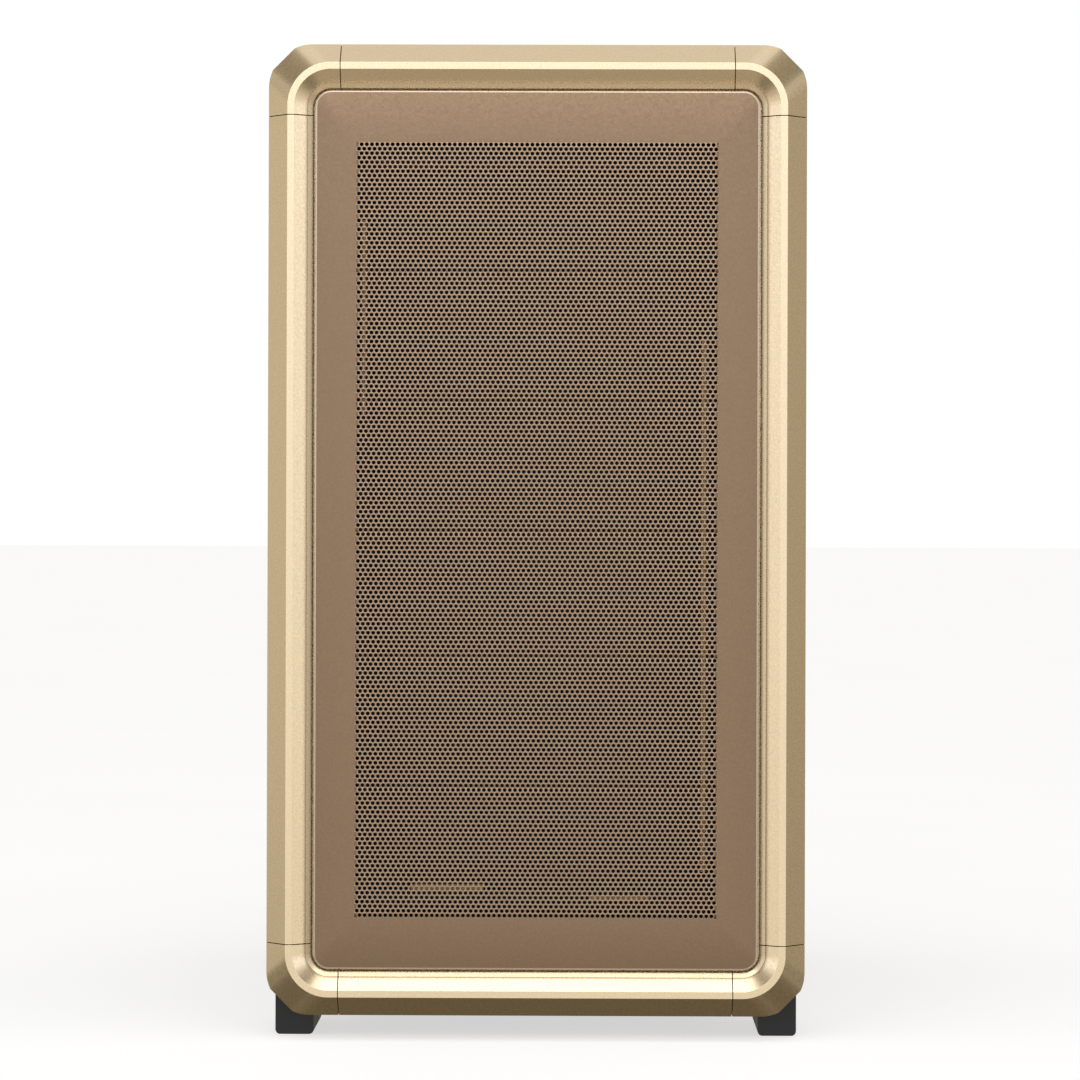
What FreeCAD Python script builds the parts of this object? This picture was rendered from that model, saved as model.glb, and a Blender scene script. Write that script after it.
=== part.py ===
import FreeCAD, Part
import math
import os

# Desktop computer tower, in millimetres. The front faces -Y, the glass side faces -X and +Z is up.
# The origin is on the floor, below the centre of the tower.

os.makedirs("parts", exist_ok=True)
V = FreeCAD.Vector
X_AXIS = V(1, 0, 0)
Y_AXIS = V(0, 1, 0)
Z_AXIS = V(0, 0, 1)

# ------------------------------------------------------------------ overall sizes
case_width = 250.0
case_height = 451.0
case_depth = 450.0
foot_height = 11.0

# ------------------------------------------------------------------ front frame
frame_depth = 28.0
chamfer_width = 9.4
chamfer_depth = 11.8
flat_width = 3.2
bevel_width = 6.1
bevel_depth = 5.0
ledge_width = 2.4
ledge_depth = 1.0
frame_corner_radius = 20.5
ridge_corner_radius = 20.0
corner_flat_length = 14.3
corner_span = 33.7
seam_gap = 0.35
rear_frame_depth = 20.0
rear_frame_band = 19.0
rear_frame_chamfer = 3.0

# ------------------------------------------------------------------ body behind the front frame
body_inset = 2.5
body_chamfer = 12.0
sheet = 1.2
rail_face = 10.0
rail_lip = 9.0
rail_wall = 2.0
roof_rebate = 4.4
glass_thickness = 4.0
strip_thickness = 1.6
cover_gap = 0.35
stud_diameter = 4.0
stud_clearance = 0.4
stud_reach = 7.0
top_stud_reach = 2.9
stud_margin = 22.0

# ------------------------------------------------------------------ front panel
panel_gap = 1.2
panel_recess = 3.0
panel_thickness = 1.6
panel_rim_depth = 8.0
panel_edge_radius = 1.4
panel_stud_diameter = 6.0
panel_stud_spacing = 150.0
panel_stud_margin = 11.5
window_width = 159.0
window_height = 338.0
window_corner_radius = 3.0
window_rim = 4.0

# ------------------------------------------------------------------ feet
foot_width = 18.0
foot_length = 60.0
foot_seat_height = 9.0
foot_edge_inset = 0.5
foot_setback = 30.0
foot_corner_radius = 2.3

# ------------------------------------------------------------------ fans
fan_depth = 25.0
fan_wall = 2.6
fan_flange = 4.0
fan_corner_radius = 7.0
fan_hole_radius = 2.15
fan_tip_gap = 1.2
fan_strut_width = 3.2
fan_strut_depth = 3.0
fan_shaft_radius = 1.5
bearing_clearance = 0.05
blade_thickness = 1.5
large_fan_size = 140.0
large_fan_spacing = 124.5
large_fan_hub = 22.0
small_fan_size = 120.0
small_fan_spacing = 105.0
small_fan_hub = 20.0
fan_pitch_gap = 2.0
rear_fan_port_gap = 28.6
rear_fan_top_gap = 11.0

# ------------------------------------------------------------------ motherboard and what stands on it
cable_space = 20.0
standoff = 6.5
standoff_radius = 3.0
board_height = 305.0
board_width = 244.0
board_thickness = 1.6
board_rear_gap = 2.0
board_shroud_gap = 7.5
slot_pitch = 20.32
slot_count = 7
card_slots = 2
first_slot_below_top = 177.0
slot_opening_width = 13.0
slot_opening_length = 104.0
slot_cover_width = 18.4
slot_cover_length = 121.0
slot_cover_thickness = 0.9
socket_length = 89.0
socket_height = 11.0
socket_width = 7.5
port_block_length = 158.0
port_block_height = 43.0
port_block_depth = 24.0
port_block_proud = 1.4
port_above_slot = 12.5
cpu_from_rear = 95.0
cpu_from_top = 85.0
cpu_lid = 32.0
cpu_socket = 44.0
cpu_socket_height = 3.6
cpu_lid_height = 3.0
memory_length = 133.35
memory_height = 31.0
memory_thickness = 6.0
memory_pitch = 9.5
memory_slots = 4
memory_slot_height = 8.0
tray_cutout_width = 84.0
tray_cutout_height = 80.0

# ------------------------------------------------------------------ processor cooler
cooler_height = 155.0
fin_stack_length = 112.0
fin_width = 120.0
fin_depth = 50.0
fin_thickness = 0.8
fin_pitch = 3.0
pipe_radius = 3.0
pipe_count = 4
pipe_pitch = 9.0
cooler_base_side = 40.0
cooler_base_height = 16.0

# ------------------------------------------------------------------ graphics card
card_length = 270.0
card_height = 111.0
card_board_thickness = 1.6
card_cooler_depth = 37.0
card_sink_depth = 19.0
card_fan_radius = 45.0
card_fan_hub = 15.0
card_fan_pitch = 118.0
card_wall = 2.0
card_bracket_thickness = 1.0
card_bracket_gap = 3.4
display_port_width = 16.0
display_port_height = 5.4
display_port_depth = 18.0

# ------------------------------------------------------------------ power supply
psu_width = 150.0
psu_height = 86.0
psu_length = 150.0
psu_wall = 1.0
psu_tray_gap = 8.7
psu_rib = 3.0
psu_fan_radius = 60.0
psu_fan_hub = 20.0
psu_fan_depth = 20.0
psu_shroud_gap = 3.4
psu_screw_edge = 6.0
psu_screw_low = 11.0
inlet_width = 24.6
inlet_height = 16.6
inlet_depth = 17.0
inlet_flange = 4.0
inlet_proud = 2.4
inlet_pin_length = 11.0
rocker_width = 9.0
rocker_length = 17.0
rocker_tilt = 7.0
rocker_pin_radius = 1.2
filter_width = 146.0
filter_length = 178.0
filter_thickness = 3.0
filter_frame = 8.0
filter_clearance = 0.5

# ------------------------------------------------------------------ front controls on the top
bezel_depth = 23.0
control_hole_clearance = 0.4
power_button_radius = 6.5
power_button_travel = 1.5
reset_button_radius = 2.6
reset_button_travel = 1.0
button_proud = 0.8
button_flange = 1.6
button_flange_width = 1.5
control_board_depth = 19.0

# ------------------------------------------------------------------ cables and storage
main_cable_radius = 4.0
graphics_cable_radius = 3.0
cable_slot_clearance = 5.0
ssd_width = 69.85
ssd_length = 100.0
ssd_thickness = 7.0
screw_head_radius = 3.6
screw_head_height = 2.4
screw_radius = 1.5
screw_hole_clearance = 0.25
screw_length = 5.0

# ------------------------------------------------------------------ places worked out from the sizes
front_y = -case_depth / 2
rear_y = case_depth / 2
base_z = foot_height
top_z = foot_height + case_height
mid_z = (base_z + top_z) / 2
frame_band = chamfer_width + flat_width + bevel_width + ledge_width

plate_y = front_y + frame_depth
inside_front_y = plate_y + sheet
rear_plate_back = rear_y - rear_frame_depth
inside_rear_y = rear_plate_back - sheet
body_x = case_width / 2 - body_inset
body_low = base_z + body_inset
body_high = top_z - body_inset

side_rebate = glass_thickness + strip_thickness
rail_edge = body_chamfer + rail_face
rail_reach = rail_edge + rail_lip
rail_inner = body_chamfer + rail_wall
floor_low = body_low + roof_rebate + rail_wall
floor_high = floor_low + sheet
roof_high = body_high - roof_rebate - rail_wall
roof_low = roof_high - sheet
floor_x = body_x - rail_inner

window_rim_back = inside_front_y + window_rim
bracket_back = window_rim_back + sheet
large_fan_z = (large_fan_size + fan_pitch_gap) / 2
front_fan_back = bracket_back + fan_depth

tray_back = body_x - side_rebate - cable_space
tray_front = tray_back - sheet
board_back = tray_front - standoff
board_face = board_back - board_thickness
board_rear_y = inside_rear_y - board_rear_gap
board_front_y = board_rear_y - board_width
psu_low = floor_high + psu_rib
psu_high = psu_low + psu_height
psu_front_y = inside_rear_y - psu_length
shroud_low = psu_high + psu_shroud_gap
shroud_high = shroud_low + sheet
board_low = shroud_high + board_shroud_gap
board_high = board_low + board_height
first_slot_z = board_high - first_slot_below_top
port_low = first_slot_z + port_above_slot
port_high = port_low + port_block_length
port_left = board_face - port_block_height
port_right = board_face
rear_fan_x = port_left - rear_fan_port_gap - small_fan_size / 2
rear_fan_z = top_z - rear_frame_band - rear_fan_top_gap - small_fan_size / 2
cpu_y = board_rear_y - cpu_from_rear
cpu_z = board_high - cpu_from_top
slot_open_right = board_face - 4.0
slot_open_left = slot_open_right - slot_opening_length
cover_left = board_back - slot_cover_length
slot_screw_x = (cover_left + slot_open_left) / 2

cooler_tip = board_face - cooler_height
fin_left = cooler_tip
fin_right = fin_left + fin_stack_length
fin_front_y = cpu_y - fin_depth / 2
fin_rear_y = cpu_y + fin_depth / 2
cooler_fan_x = (fin_left + fin_right) / 2

memory_rear_y = fin_front_y - fan_depth - 8.0
card_rear_y = inside_rear_y - card_bracket_thickness - card_bracket_gap
card_front_y = card_rear_y - card_length
card_board_low = first_slot_z - card_board_thickness / 2
card_board_high = first_slot_z + card_board_thickness / 2
card_right = board_face - socket_height
card_left = card_right - card_height
card_sink_low = card_board_low - card_sink_depth
card_low = card_board_low - card_cooler_depth
card_fan_x = (card_left + card_right) / 2
card_mid_y = (card_front_y + card_rear_y) / 2
bracket_low = first_slot_z - slot_pitch * (card_slots - 1) - slot_cover_width / 2
bracket_high = first_slot_z + slot_cover_width / 2

psu_right = tray_front - psu_tray_gap
psu_left = psu_right - psu_width
psu_x = (psu_left + psu_right) / 2
psu_fan_y = (psu_front_y + inside_rear_y) / 2
inlet_x = psu_x + 44.0
inlet_z = psu_low + 62.0
rocker_z = inlet_z - 26.0
rocker_y = inside_rear_y + 1.0
filter_high = floor_low - 1.2
filter_low = filter_high - filter_thickness
filter_rear_y = rear_y - 1.5
filter_front_y = filter_rear_y - filter_length

bezel_back_y = inside_front_y + bezel_depth
control_y = inside_front_y + bezel_depth / 2
control_board_low = body_high - 19.5
control_board_high = control_board_low + 1.6
power_x = 0.0
reset_x = 17.0
usb_a_x = (-52.0, -32.0)
usb_c_x = 34.0
usb_a_outer = (13.6, 6.2)
usb_a_inner = (12.5, 5.1)
usb_c_outer = (9.6, 3.8)
usb_c_inner = (8.6, 2.8)

main_cable_y = board_front_y - 65.8
main_cable_path = (
    V(board_face - 15.6, psu_front_y, psu_low + 46.0),
    V(board_face - 15.6, main_cable_y, psu_low + 46.0),
    V(board_face - 15.6, main_cable_y, cpu_z - 16.0),
    V(board_face - 11.6, board_front_y - 10.0, cpu_z - 16.0),
)
graphics_cable_y = card_front_y + 12.6
graphics_cable_path = (
    V(psu_x - 32.0, psu_front_y, psu_low + 51.0),
    V(card_left - 45.6, graphics_cable_y, psu_low + 51.0),
    V(card_left - 45.6, graphics_cable_y, card_board_low - 9.0),
    V(card_left - 5.0, graphics_cable_y, card_board_low - 9.0),
)


# ------------------------------------------------------------------ basic shapes
def box(x, y, z):
    """Box between two limits along each axis."""
    return Part.makeBox(x[1] - x[0], y[1] - y[0], z[1] - z[0], V(x[0], y[0], z[0]))


def around(middle, size):
    """Limits of a length centred on a place."""
    return (middle - size / 2, middle + size / 2)


def rounded_box(x, y, z, radius, axis):
    """Box with its four edges along one axis rounded."""
    solid = box(x, y, z)
    edges = [edge for edge in solid.Edges if abs(edge.tangentAt(edge.FirstParameter).dot(axis)) > 0.99]
    return solid.makeFillet(radius, edges)


def rod(start, axis, radius, length):
    """Cylinder from a start point along an axis."""
    return Part.makeCylinder(radius, length, start, axis)


def fused(shapes):
    """All the shapes as one solid with clean faces."""
    return shapes[0].multiFuse(shapes[1:]).removeSplitter()


def cut(shape, tools):
    """Shape with every tool taken away."""
    return shape.cut(tools)


def prism_y(points, y):
    """Prism along Y of an outline given as (x, z) points."""
    corners = [V(x, y[0], z) for x, z in points]
    face = Part.Face(Part.makePolygon(corners + corners[:1]))
    return face.extrude(V(0, y[1] - y[0], 0))


def save(name, shapes):
    """Write one node: a solid, or several separate solids."""
    shape = shapes if isinstance(shapes, Part.Shape) else Part.Compound(shapes)
    shape.exportStep("parts/" + name + ".step")


# ------------------------------------------------------------------ front frame
def frame_outline(inset, radius, y, with_flats):
    """Closed outline of the frame, inset from its outer edge, with each corner in three stretches."""
    half = case_width / 2 - inset
    low = base_z + inset
    high = top_z - inset
    half_angle = math.asin(corner_flat_length / 2 / frame_corner_radius)
    centres = (
        (half - radius, high - radius),
        (radius - half, high - radius),
        (radius - half, low + radius),
        (half - radius, low + radius),
    )
    edges = []
    last = None
    first = None
    for index, (x, z) in enumerate(centres):
        start = index * math.pi / 2
        middle = start + math.pi / 4
        angles = (start, middle - half_angle, middle + half_angle, start + math.pi / 2)
        points = [V(x + radius * math.cos(a), y, z + radius * math.sin(a)) for a in angles]
        if last is not None:
            edges.append(Part.LineSegment(last, points[0]).toShape())
        first = first or points[0]
        for step in range(3):
            angle = (angles[step] + angles[step + 1]) / 2
            halfway = V(x + radius * math.cos(angle), y, z + radius * math.sin(angle))
            if step == 1 and with_flats:
                edges.append(Part.LineSegment(points[1], points[2]).toShape())
            else:
                edges.append(Part.Arc(points[step], halfway, points[step + 1]).toShape())
        last = points[3]
    edges.append(Part.LineSegment(last, first).toShape())
    return Part.Wire(edges)


def outline_prism(inset, radius, y, with_flats=False):
    """Prism along Y of the frame's outline."""
    wire = frame_outline(inset, radius, y[0], with_flats)
    return Part.Face(wire).extrude(V(0, y[1] - y[0], 0))


def outline_loft(start, end):
    """Straight-sided solid between two outlines, each (inset, radius, y, with_flats)."""
    return Part.makeLoft([frame_outline(*start), frame_outline(*end)], True, True)


def front_ring():
    """The whole front frame before it is parted at its seams."""
    bevel_radius = ridge_corner_radius - flat_width
    ledge_radius = bevel_radius - bevel_width
    inner_radius = ledge_radius - ledge_width
    shoulder_y = front_y + chamfer_depth
    ridge_inner = chamfer_width + flat_width
    ledge_inset = ridge_inner + bevel_width
    bevel_y = front_y + bevel_depth
    ledge_y = bevel_y + ledge_depth
    back = outline_prism(0, frame_corner_radius, (shoulder_y, plate_y), True)
    nose = outline_loft((0, frame_corner_radius, shoulder_y, True), (chamfer_width, ridge_corner_radius, front_y, False))
    bevel = outline_loft((ridge_inner, bevel_radius, front_y, False), (ledge_inset, ledge_radius, bevel_y, False))
    ledge = outline_loft((ledge_inset, ledge_radius, bevel_y, False), (frame_band, inner_radius, ledge_y, False))
    opening = outline_prism(frame_band, inner_radius, (ledge_y, plate_y))
    return cut(back.fuse(nose), [bevel, ledge, opening])


def front_frame():
    """Four rails and four corner castings, parted by thin seams."""
    ring = front_ring()
    half = case_width / 2
    depth = (front_y - 1, plate_y + 1)
    seam = seam_gap / 2
    edge_x = half - corner_span
    edge_low = base_z + corner_span
    edge_high = top_z - corner_span
    side_z = (edge_low + seam, edge_high - seam)
    across = (seam - edge_x, edge_x - seam)
    save("front_rail_left", ring.common(box((-half - 1, 0), depth, side_z)))
    save("front_rail_right", ring.common(box((0, half + 1), depth, side_z)))
    save("front_rail_top", ring.common(box(across, depth, (mid_z, top_z + 1))))
    save("front_rail_bottom", ring.common(box(across, depth, (base_z - 1, mid_z))))
    for side, x in (("left", (-half - 1, -edge_x - seam)), ("right", (edge_x + seam, half + 1))):
        save("front_corner_top_" + side, ring.common(box(x, depth, (edge_high + seam, top_z + 1))))
        save("front_corner_bottom_" + side, ring.common(box(x, depth, (base_z - 1, edge_low - seam))))


def panel_stud_places():
    """Places (x, z) of the studs behind the front panel."""
    stud_x = case_width / 2 - frame_band - panel_gap - panel_stud_margin
    return [(x, mid_z + z) for x in (-stud_x, stud_x) for z in (-panel_stud_spacing, 0, panel_stud_spacing)]


def front_panel():
    """Shallow tray with a rounded front edge, and six studs that push into the front plate."""
    inset = frame_band + panel_gap
    radius = ridge_corner_radius - flat_width - bevel_width - ledge_width - panel_gap
    face_y = front_y + panel_recess
    inside_y = face_y + panel_thickness
    tray = outline_prism(inset, radius, (face_y, face_y + panel_rim_depth))
    front_edges = [edge for edge in tray.Edges if edge.BoundBox.YMax < face_y + 0.01]
    tray = tray.makeFillet(panel_edge_radius, front_edges)
    hollow = outline_prism(inset + panel_thickness, radius - panel_thickness, (inside_y, face_y + panel_rim_depth))
    pieces = [tray.cut(hollow)]
    length = inside_front_y + stud_reach / 2 - inside_y
    for x, z in panel_stud_places():
        pieces.append(rod(V(x, inside_y, z), Y_AXIS, panel_stud_diameter / 2, length))
    save("front_panel", fused(pieces))


# ------------------------------------------------------------------ chassis
def body_section(y):
    """Prism of the body's outline, a rectangle with its four corners cut at 45 degrees."""
    high = body_high - body_chamfer
    low = body_low + body_chamfer
    side = body_x - body_chamfer
    points = (
        (body_x, high), (side, body_high), (-side, body_high), (-body_x, high),
        (-body_x, low), (-side, body_low), (side, body_low), (body_x, low),
    )
    return prism_y(points, y)


def chassis_front_plate():
    """Front sheet with a large window, whose edge is folded back, and holes for the panel's studs."""
    plate = body_section((plate_y, inside_front_y))
    width = window_width + 2 * sheet
    height = window_height + 2 * sheet
    rim_radius = window_corner_radius + sheet
    rim_y = (plate_y, window_rim_back)
    rim = rounded_box(around(0, width), rim_y, around(mid_z, height), rim_radius, Y_AXIS)
    window = rounded_box(around(0, window_width), (plate_y - 1, window_rim_back + 1),
                         around(mid_z, window_height), window_corner_radius, Y_AXIS)
    hole_radius = panel_stud_diameter / 2 + stud_clearance
    holes = [rod(V(x, plate_y - 1, z), Y_AXIS, hole_radius, sheet + 2) for x, z in panel_stud_places()]
    shell = cut(plate.fuse(rim).removeSplitter(), [window] + holes)
    bend = [edge for edge in shell.Edges
            if edge.BoundBox.YMax < plate_y + 0.01
            and edge.BoundBox.XMax < window_width / 2 + 0.01 and edge.BoundBox.XMin > -window_width / 2 - 0.01
            and abs(edge.BoundBox.Center.z - mid_z) < window_height / 2 + 0.01
            and edge.Length > window_corner_radius]
    bend = [edge for edge in bend if not isinstance(edge.Curve, Part.Circle) or edge.Curve.Radius > hole_radius]
    save("chassis_front_plate", shell.makeFillet(sheet * 0.8, bend))


def fan_bracket():
    """Flat bracket behind the window that carries the two front fans."""
    width = window_width + 2 * sheet
    height = window_height + 2 * sheet
    y = (window_rim_back, bracket_back)
    plate = rounded_box(around(0, width), y, around(mid_z, height), window_corner_radius + sheet, Y_AXIS)
    radius = large_fan_size / 2 - fan_wall
    holes = []
    for z in (mid_z - large_fan_z, mid_z + large_fan_z):
        holes.append(rod(V(0, y[0] - 1, z), Y_AXIS, radius, sheet + 2))
    save("fan_bracket", cut(plate, holes))


def rail_section(side, end):
    """Corner rail's outline as (x, z) points; side and end are -1 or +1 towards the rail's corner."""
    lip_roof = roof_rebate + rail_wall
    lip_side = side_rebate + rail_wall
    profile = (
        (body_chamfer, 0), (rail_edge, 0), (rail_edge, roof_rebate), (rail_reach, roof_rebate),
        (rail_reach, lip_roof), (rail_inner, lip_roof), (lip_side, rail_inner), (lip_side, rail_reach),
        (side_rebate, rail_reach), (side_rebate, rail_edge), (0, rail_edge), (0, body_chamfer),
    )
    edge_z = body_high if end > 0 else body_low
    return [(side * (body_x - u), edge_z - end * v) for u, v in profile]


def cover_stud_places():
    """Places along Y of the studs that hold the glass, side and top covers."""
    return (bezel_back_y + stud_margin, inside_rear_y - stud_margin)


def side_stud_heights():
    """Heights of the studs in the lower and upper rails' side lips."""
    middle = rail_edge + rail_lip / 2
    return (body_low + middle, body_high - middle)


def corner_rails():
    """Four long corner rails with stud holes in their lips."""
    hole_radius = stud_diameter / 2 + stud_clearance
    lip_middle = rail_edge + rail_lip / 2
    lip_x = body_x - side_rebate - rail_wall
    rails = {-1: [], 1: []}
    for end in (-1, 1):
        for side in (-1, 1):
            rail = prism_y(rail_section(side, end), (inside_front_y, inside_rear_y))
            holes = []
            for y in cover_stud_places():
                z = side_stud_heights()[0 if end < 0 else 1]
                start = V(side * (lip_x - 1), y, z)
                holes.append(rod(start, V(side, 0, 0), hole_radius, rail_wall + 2))
                if end > 0:
                    top = V(side * (body_x - lip_middle), y, roof_high - 1)
                    holes.append(rod(top, Z_AXIS, hole_radius, rail_wall + 2))
            rails[end].append(cut(rail, holes))
    save("lower_corner_rails", rails[-1])
    save("upper_corner_rails", rails[1])


def chassis_floor():
    """Floor sheet with the power supply's intake, two ribs and two runners for the filter."""
    plate = box((-floor_x, floor_x), (inside_front_y, inside_rear_y), (floor_low, floor_high))
    intake = psu_fan_radius * 2 - 6
    plate = plate.cut(rounded_box(around(psu_x, intake), around(psu_fan_y, intake),
                                  (floor_low - 1, floor_high + 1), 12.0, Z_AXIS))
    pieces = [plate]
    for x in (psu_left + 4.0, psu_right - 4.0):
        pieces.append(box(around(x, 6.0), (psu_front_y + 8, inside_rear_y - 8), (floor_high, psu_low)))
    half = filter_width / 2 + filter_clearance
    for side in (-1, 1):
        wall_x = sorted((psu_x + side * half, psu_x + side * (half + sheet)))
        shelf_x = sorted((psu_x + side * (half - 4), psu_x + side * (half + sheet)))
        y = (filter_front_y - 2, inside_rear_y)
        shelf_high = filter_low - filter_clearance / 2
        pieces.append(box(wall_x, y, (shelf_high, floor_low)))
        pieces.append(box(shelf_x, y, (shelf_high - sheet, shelf_high)))
    save("chassis_floor", fused(pieces))


def chassis_roof():
    """Roof sheet with the top vent and the cut-out for the controls."""
    y = (inside_front_y, inside_rear_y)
    plate = box((-floor_x, floor_x), y, (roof_low, roof_high))
    z = (roof_low - 1, roof_high + 1)
    vent_y = (bezel_back_y + 30.0, inside_rear_y - 40.0)
    vent_middle = (vent_y[0] + vent_y[1]) / 2
    hole_x = body_x - rail_edge - rail_lip / 2
    tools = [
        rounded_box((-64.0, 64.0), (vent_y[0], vent_middle - 6), z, 8.0, Z_AXIS),
        rounded_box((-64.0, 64.0), (vent_middle + 6, vent_y[1]), z, 8.0, Z_AXIS),
        rounded_box((usb_a_x[0] - 12, usb_c_x + 10), around(control_y, control_board_depth - 3), z, 3.0, Z_AXIS),
    ]
    for y_place in cover_stud_places():
        for x in (-hole_x, hole_x):
            tools.append(rod(V(x, y_place, z[0]), Z_AXIS, stud_diameter / 2 + stud_clearance, sheet + 2))
    save("chassis_roof", cut(plate, tools))


def standoff_places():
    """Places (y, z) of the nine stand-offs under the motherboard."""
    columns = (board_rear_y - 6.5, board_rear_y - 131.0, board_rear_y - 232.0)
    rows = (board_low + 6.5, board_low + 147.0, board_high - 22.0)
    return [(y, z) for y in columns for z in rows]


def motherboard_tray():
    """Upright sheet with stand-offs, the processor cut-out and three cable slots."""
    plate = box((tray_front, tray_back), (front_fan_back + 4, inside_rear_y), (floor_high, roof_low))
    x = (tray_front - 1, tray_back + 1)
    bay_y = (front_fan_back + 16.0, inside_rear_y - 12.0)
    bay_z = (floor_high + 8.0, shroud_low - 6.0)
    tools = [
        rounded_box(x, around(cpu_y, tray_cutout_width), around(cpu_z, tray_cutout_height), 6.0, X_AXIS),
        rounded_box(x, bay_y, bay_z, 6.0, X_AXIS),
    ]
    for z in (board_low + 60, board_low + 135, board_low + 255):
        tools.append(rounded_box(x, around(board_front_y - 22.0, 18.0), around(z, 42.0), 8.0, X_AXIS))
    pieces = [cut(plate, tools)]
    for y, z in standoff_places():
        pieces.append(rod(V(board_back, y, z), X_AXIS, standoff_radius, standoff))
    save("motherboard_tray", fused(pieces))


def slot_z(index):
    """Height of an expansion slot's centre."""
    return first_slot_z - index * slot_pitch


def fan_screw_places(x, z, spacing):
    """Four screw places (x, z) round a fan."""
    half = spacing / 2
    return [(x + a * half, z + b * half) for a in (-1, 1) for b in (-1, 1)]


def psu_screw_places():
    """Four screw places (x, z) on the power supply's rear face."""
    heights = (psu_low + psu_screw_low, psu_high - psu_screw_edge)
    return [(x, z) for x in (psu_left + psu_screw_edge, psu_right - psu_screw_edge) for z in heights]


def rear_screw_places():
    """All the screw places (x, z) on the rear plate."""
    places = fan_screw_places(rear_fan_x, rear_fan_z, small_fan_spacing) + psu_screw_places()
    return places + [(slot_screw_x, slot_z(index)) for index in range(slot_count)]


def chassis_rear_plate():
    """Rear sheet with its openings for ports, fan, cards, power supply and filter."""
    plate = body_section((inside_rear_y, rear_plate_back))
    y = (inside_rear_y - 1, rear_plate_back + 1)
    gap = cover_gap
    tools = [
        box((port_left - gap, port_right + gap), y, (port_low - gap, port_high + gap)),
        rounded_box((psu_left + 11, psu_right - 11), y, (psu_low + 3, psu_high - 3), 5.0, Y_AXIS),
        box(around(psu_x, filter_width + 4), y, (filter_low - 2, filter_high + 1)),
        rod(V(rear_fan_x, y[0], rear_fan_z), Y_AXIS, small_fan_size / 2 - fan_wall, sheet + 2),
    ]
    for index in range(slot_count):
        z = around(slot_z(index), slot_opening_width)
        tools.append(rounded_box((slot_open_left, slot_open_right), y, z, 2.0, Y_AXIS))
    for x, z in rear_screw_places():
        tools.append(rod(V(x, y[0], z), Y_AXIS, screw_radius + screw_hole_clearance, sheet + 2))
    for column in range(5):
        x = around(cover_left - 16.0 - column * 12.0, 5.0)
        tools.append(rounded_box(x, y, (slot_z(slot_count - 1), slot_z(1)), 2.4, Y_AXIS))
    save("chassis_rear_plate", cut(plate, tools))


def rear_frame():
    """One-piece frame at the rear, with a slot at the bottom for the filter."""
    shoulder_y = rear_y - rear_frame_chamfer
    body = outline_prism(0, frame_corner_radius, (rear_plate_back, shoulder_y), True)
    radius = frame_corner_radius - rear_frame_chamfer
    edge = outline_loft((0, frame_corner_radius, shoulder_y, True), (rear_frame_chamfer, radius, rear_y, True))
    opening = outline_prism(rear_frame_band, 10.0, (rear_plate_back - 1, rear_y + 1))
    slot_y = (rear_plate_back - 1, rear_y + 1)
    slot = box(around(psu_x, filter_width + 4), slot_y, (filter_low - 2, filter_high + 1))
    save("rear_frame", cut(body.fuse(edge).removeSplitter(), [opening, slot]))


def psu_shroud():
    """Shroud over the power supply: a top with vents and cable slots, and a wall on the glass side."""
    y = (front_fan_back + 4, inside_rear_y)
    left = -floor_x
    top = box((left, tray_front), y, (shroud_low, shroud_high))
    wall = box((left, left + sheet), y, (floor_high, shroud_low))
    z = (shroud_low - 1, shroud_high + 1)
    slots = []
    crossing = ((main_cable_path[1], main_cable_radius), (graphics_cable_path[1], graphics_cable_radius))
    for bend, radius in crossing:
        half = radius + cable_slot_clearance
        x = (bend.x - half, bend.x + half + 4)
        slots.append(rounded_box(x, (bend.y - half, bend.y + half + 12), z, 4.0, Z_AXIS))
    for row in range(2):
        for column in range(9):
            x = around(-55.0 + row * 62.0, 52.0)
            slots.append(rounded_box(x, around(40.0 + column * 9.0, 4.0), z, 1.9, Z_AXIS))
    save("psu_shroud", cut(fused([top, wall]), slots))


def feet():
    """Four moulded feet under the ends of the lower rails, cut to the rails' 45 degree faces."""
    outer = body_x - foot_edge_inset
    shapes = []
    starts = (front_y + foot_setback, rear_plate_back - foot_setback - foot_length)
    for y in starts:
        for side in (-1, 1):
            x = sorted((side * (outer - foot_width), side * outer))
            block = box(x, (y, y + foot_length), (0, base_z + foot_seat_height))
            edges = [edge for edge in block.Edges if abs(edge.tangentAt(edge.FirstParameter).y) > 0.99]
            low_edges = [edge for edge in edges if edge.BoundBox.ZMax < 1]
            block = block.makeFillet(foot_corner_radius, low_edges)
            shapes.append(block.cut(body_section((y - 1, y + foot_length + 1))))
    save("feet", shapes)


# ------------------------------------------------------------------ covers
def glass_panel():
    """Tempered glass side cover."""
    y = (inside_front_y + cover_gap, inside_rear_y - cover_gap)
    z = (body_low + rail_edge + cover_gap, body_high - rail_edge - cover_gap)
    save("glass_panel", rounded_box((-body_x, glass_thickness - body_x), y, z, 2.0, X_AXIS))


def glass_panel_rails():
    """Steel strips bonded behind the glass, with the studs that push into the rails' lips."""
    y = (inside_front_y + 2, inside_rear_y - 2)
    x = (glass_thickness - body_x, side_rebate - body_x)
    shapes = []
    for z in side_stud_heights():
        pieces = [box(x, y, around(z, rail_lip - 1))]
        for stud_y in cover_stud_places():
            pieces.append(rod(V(x[0], stud_y, z), X_AXIS, stud_diameter / 2, strip_thickness + stud_reach))
        shapes.append(fused(pieces))
    save("glass_panel_rails", shapes)


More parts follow.
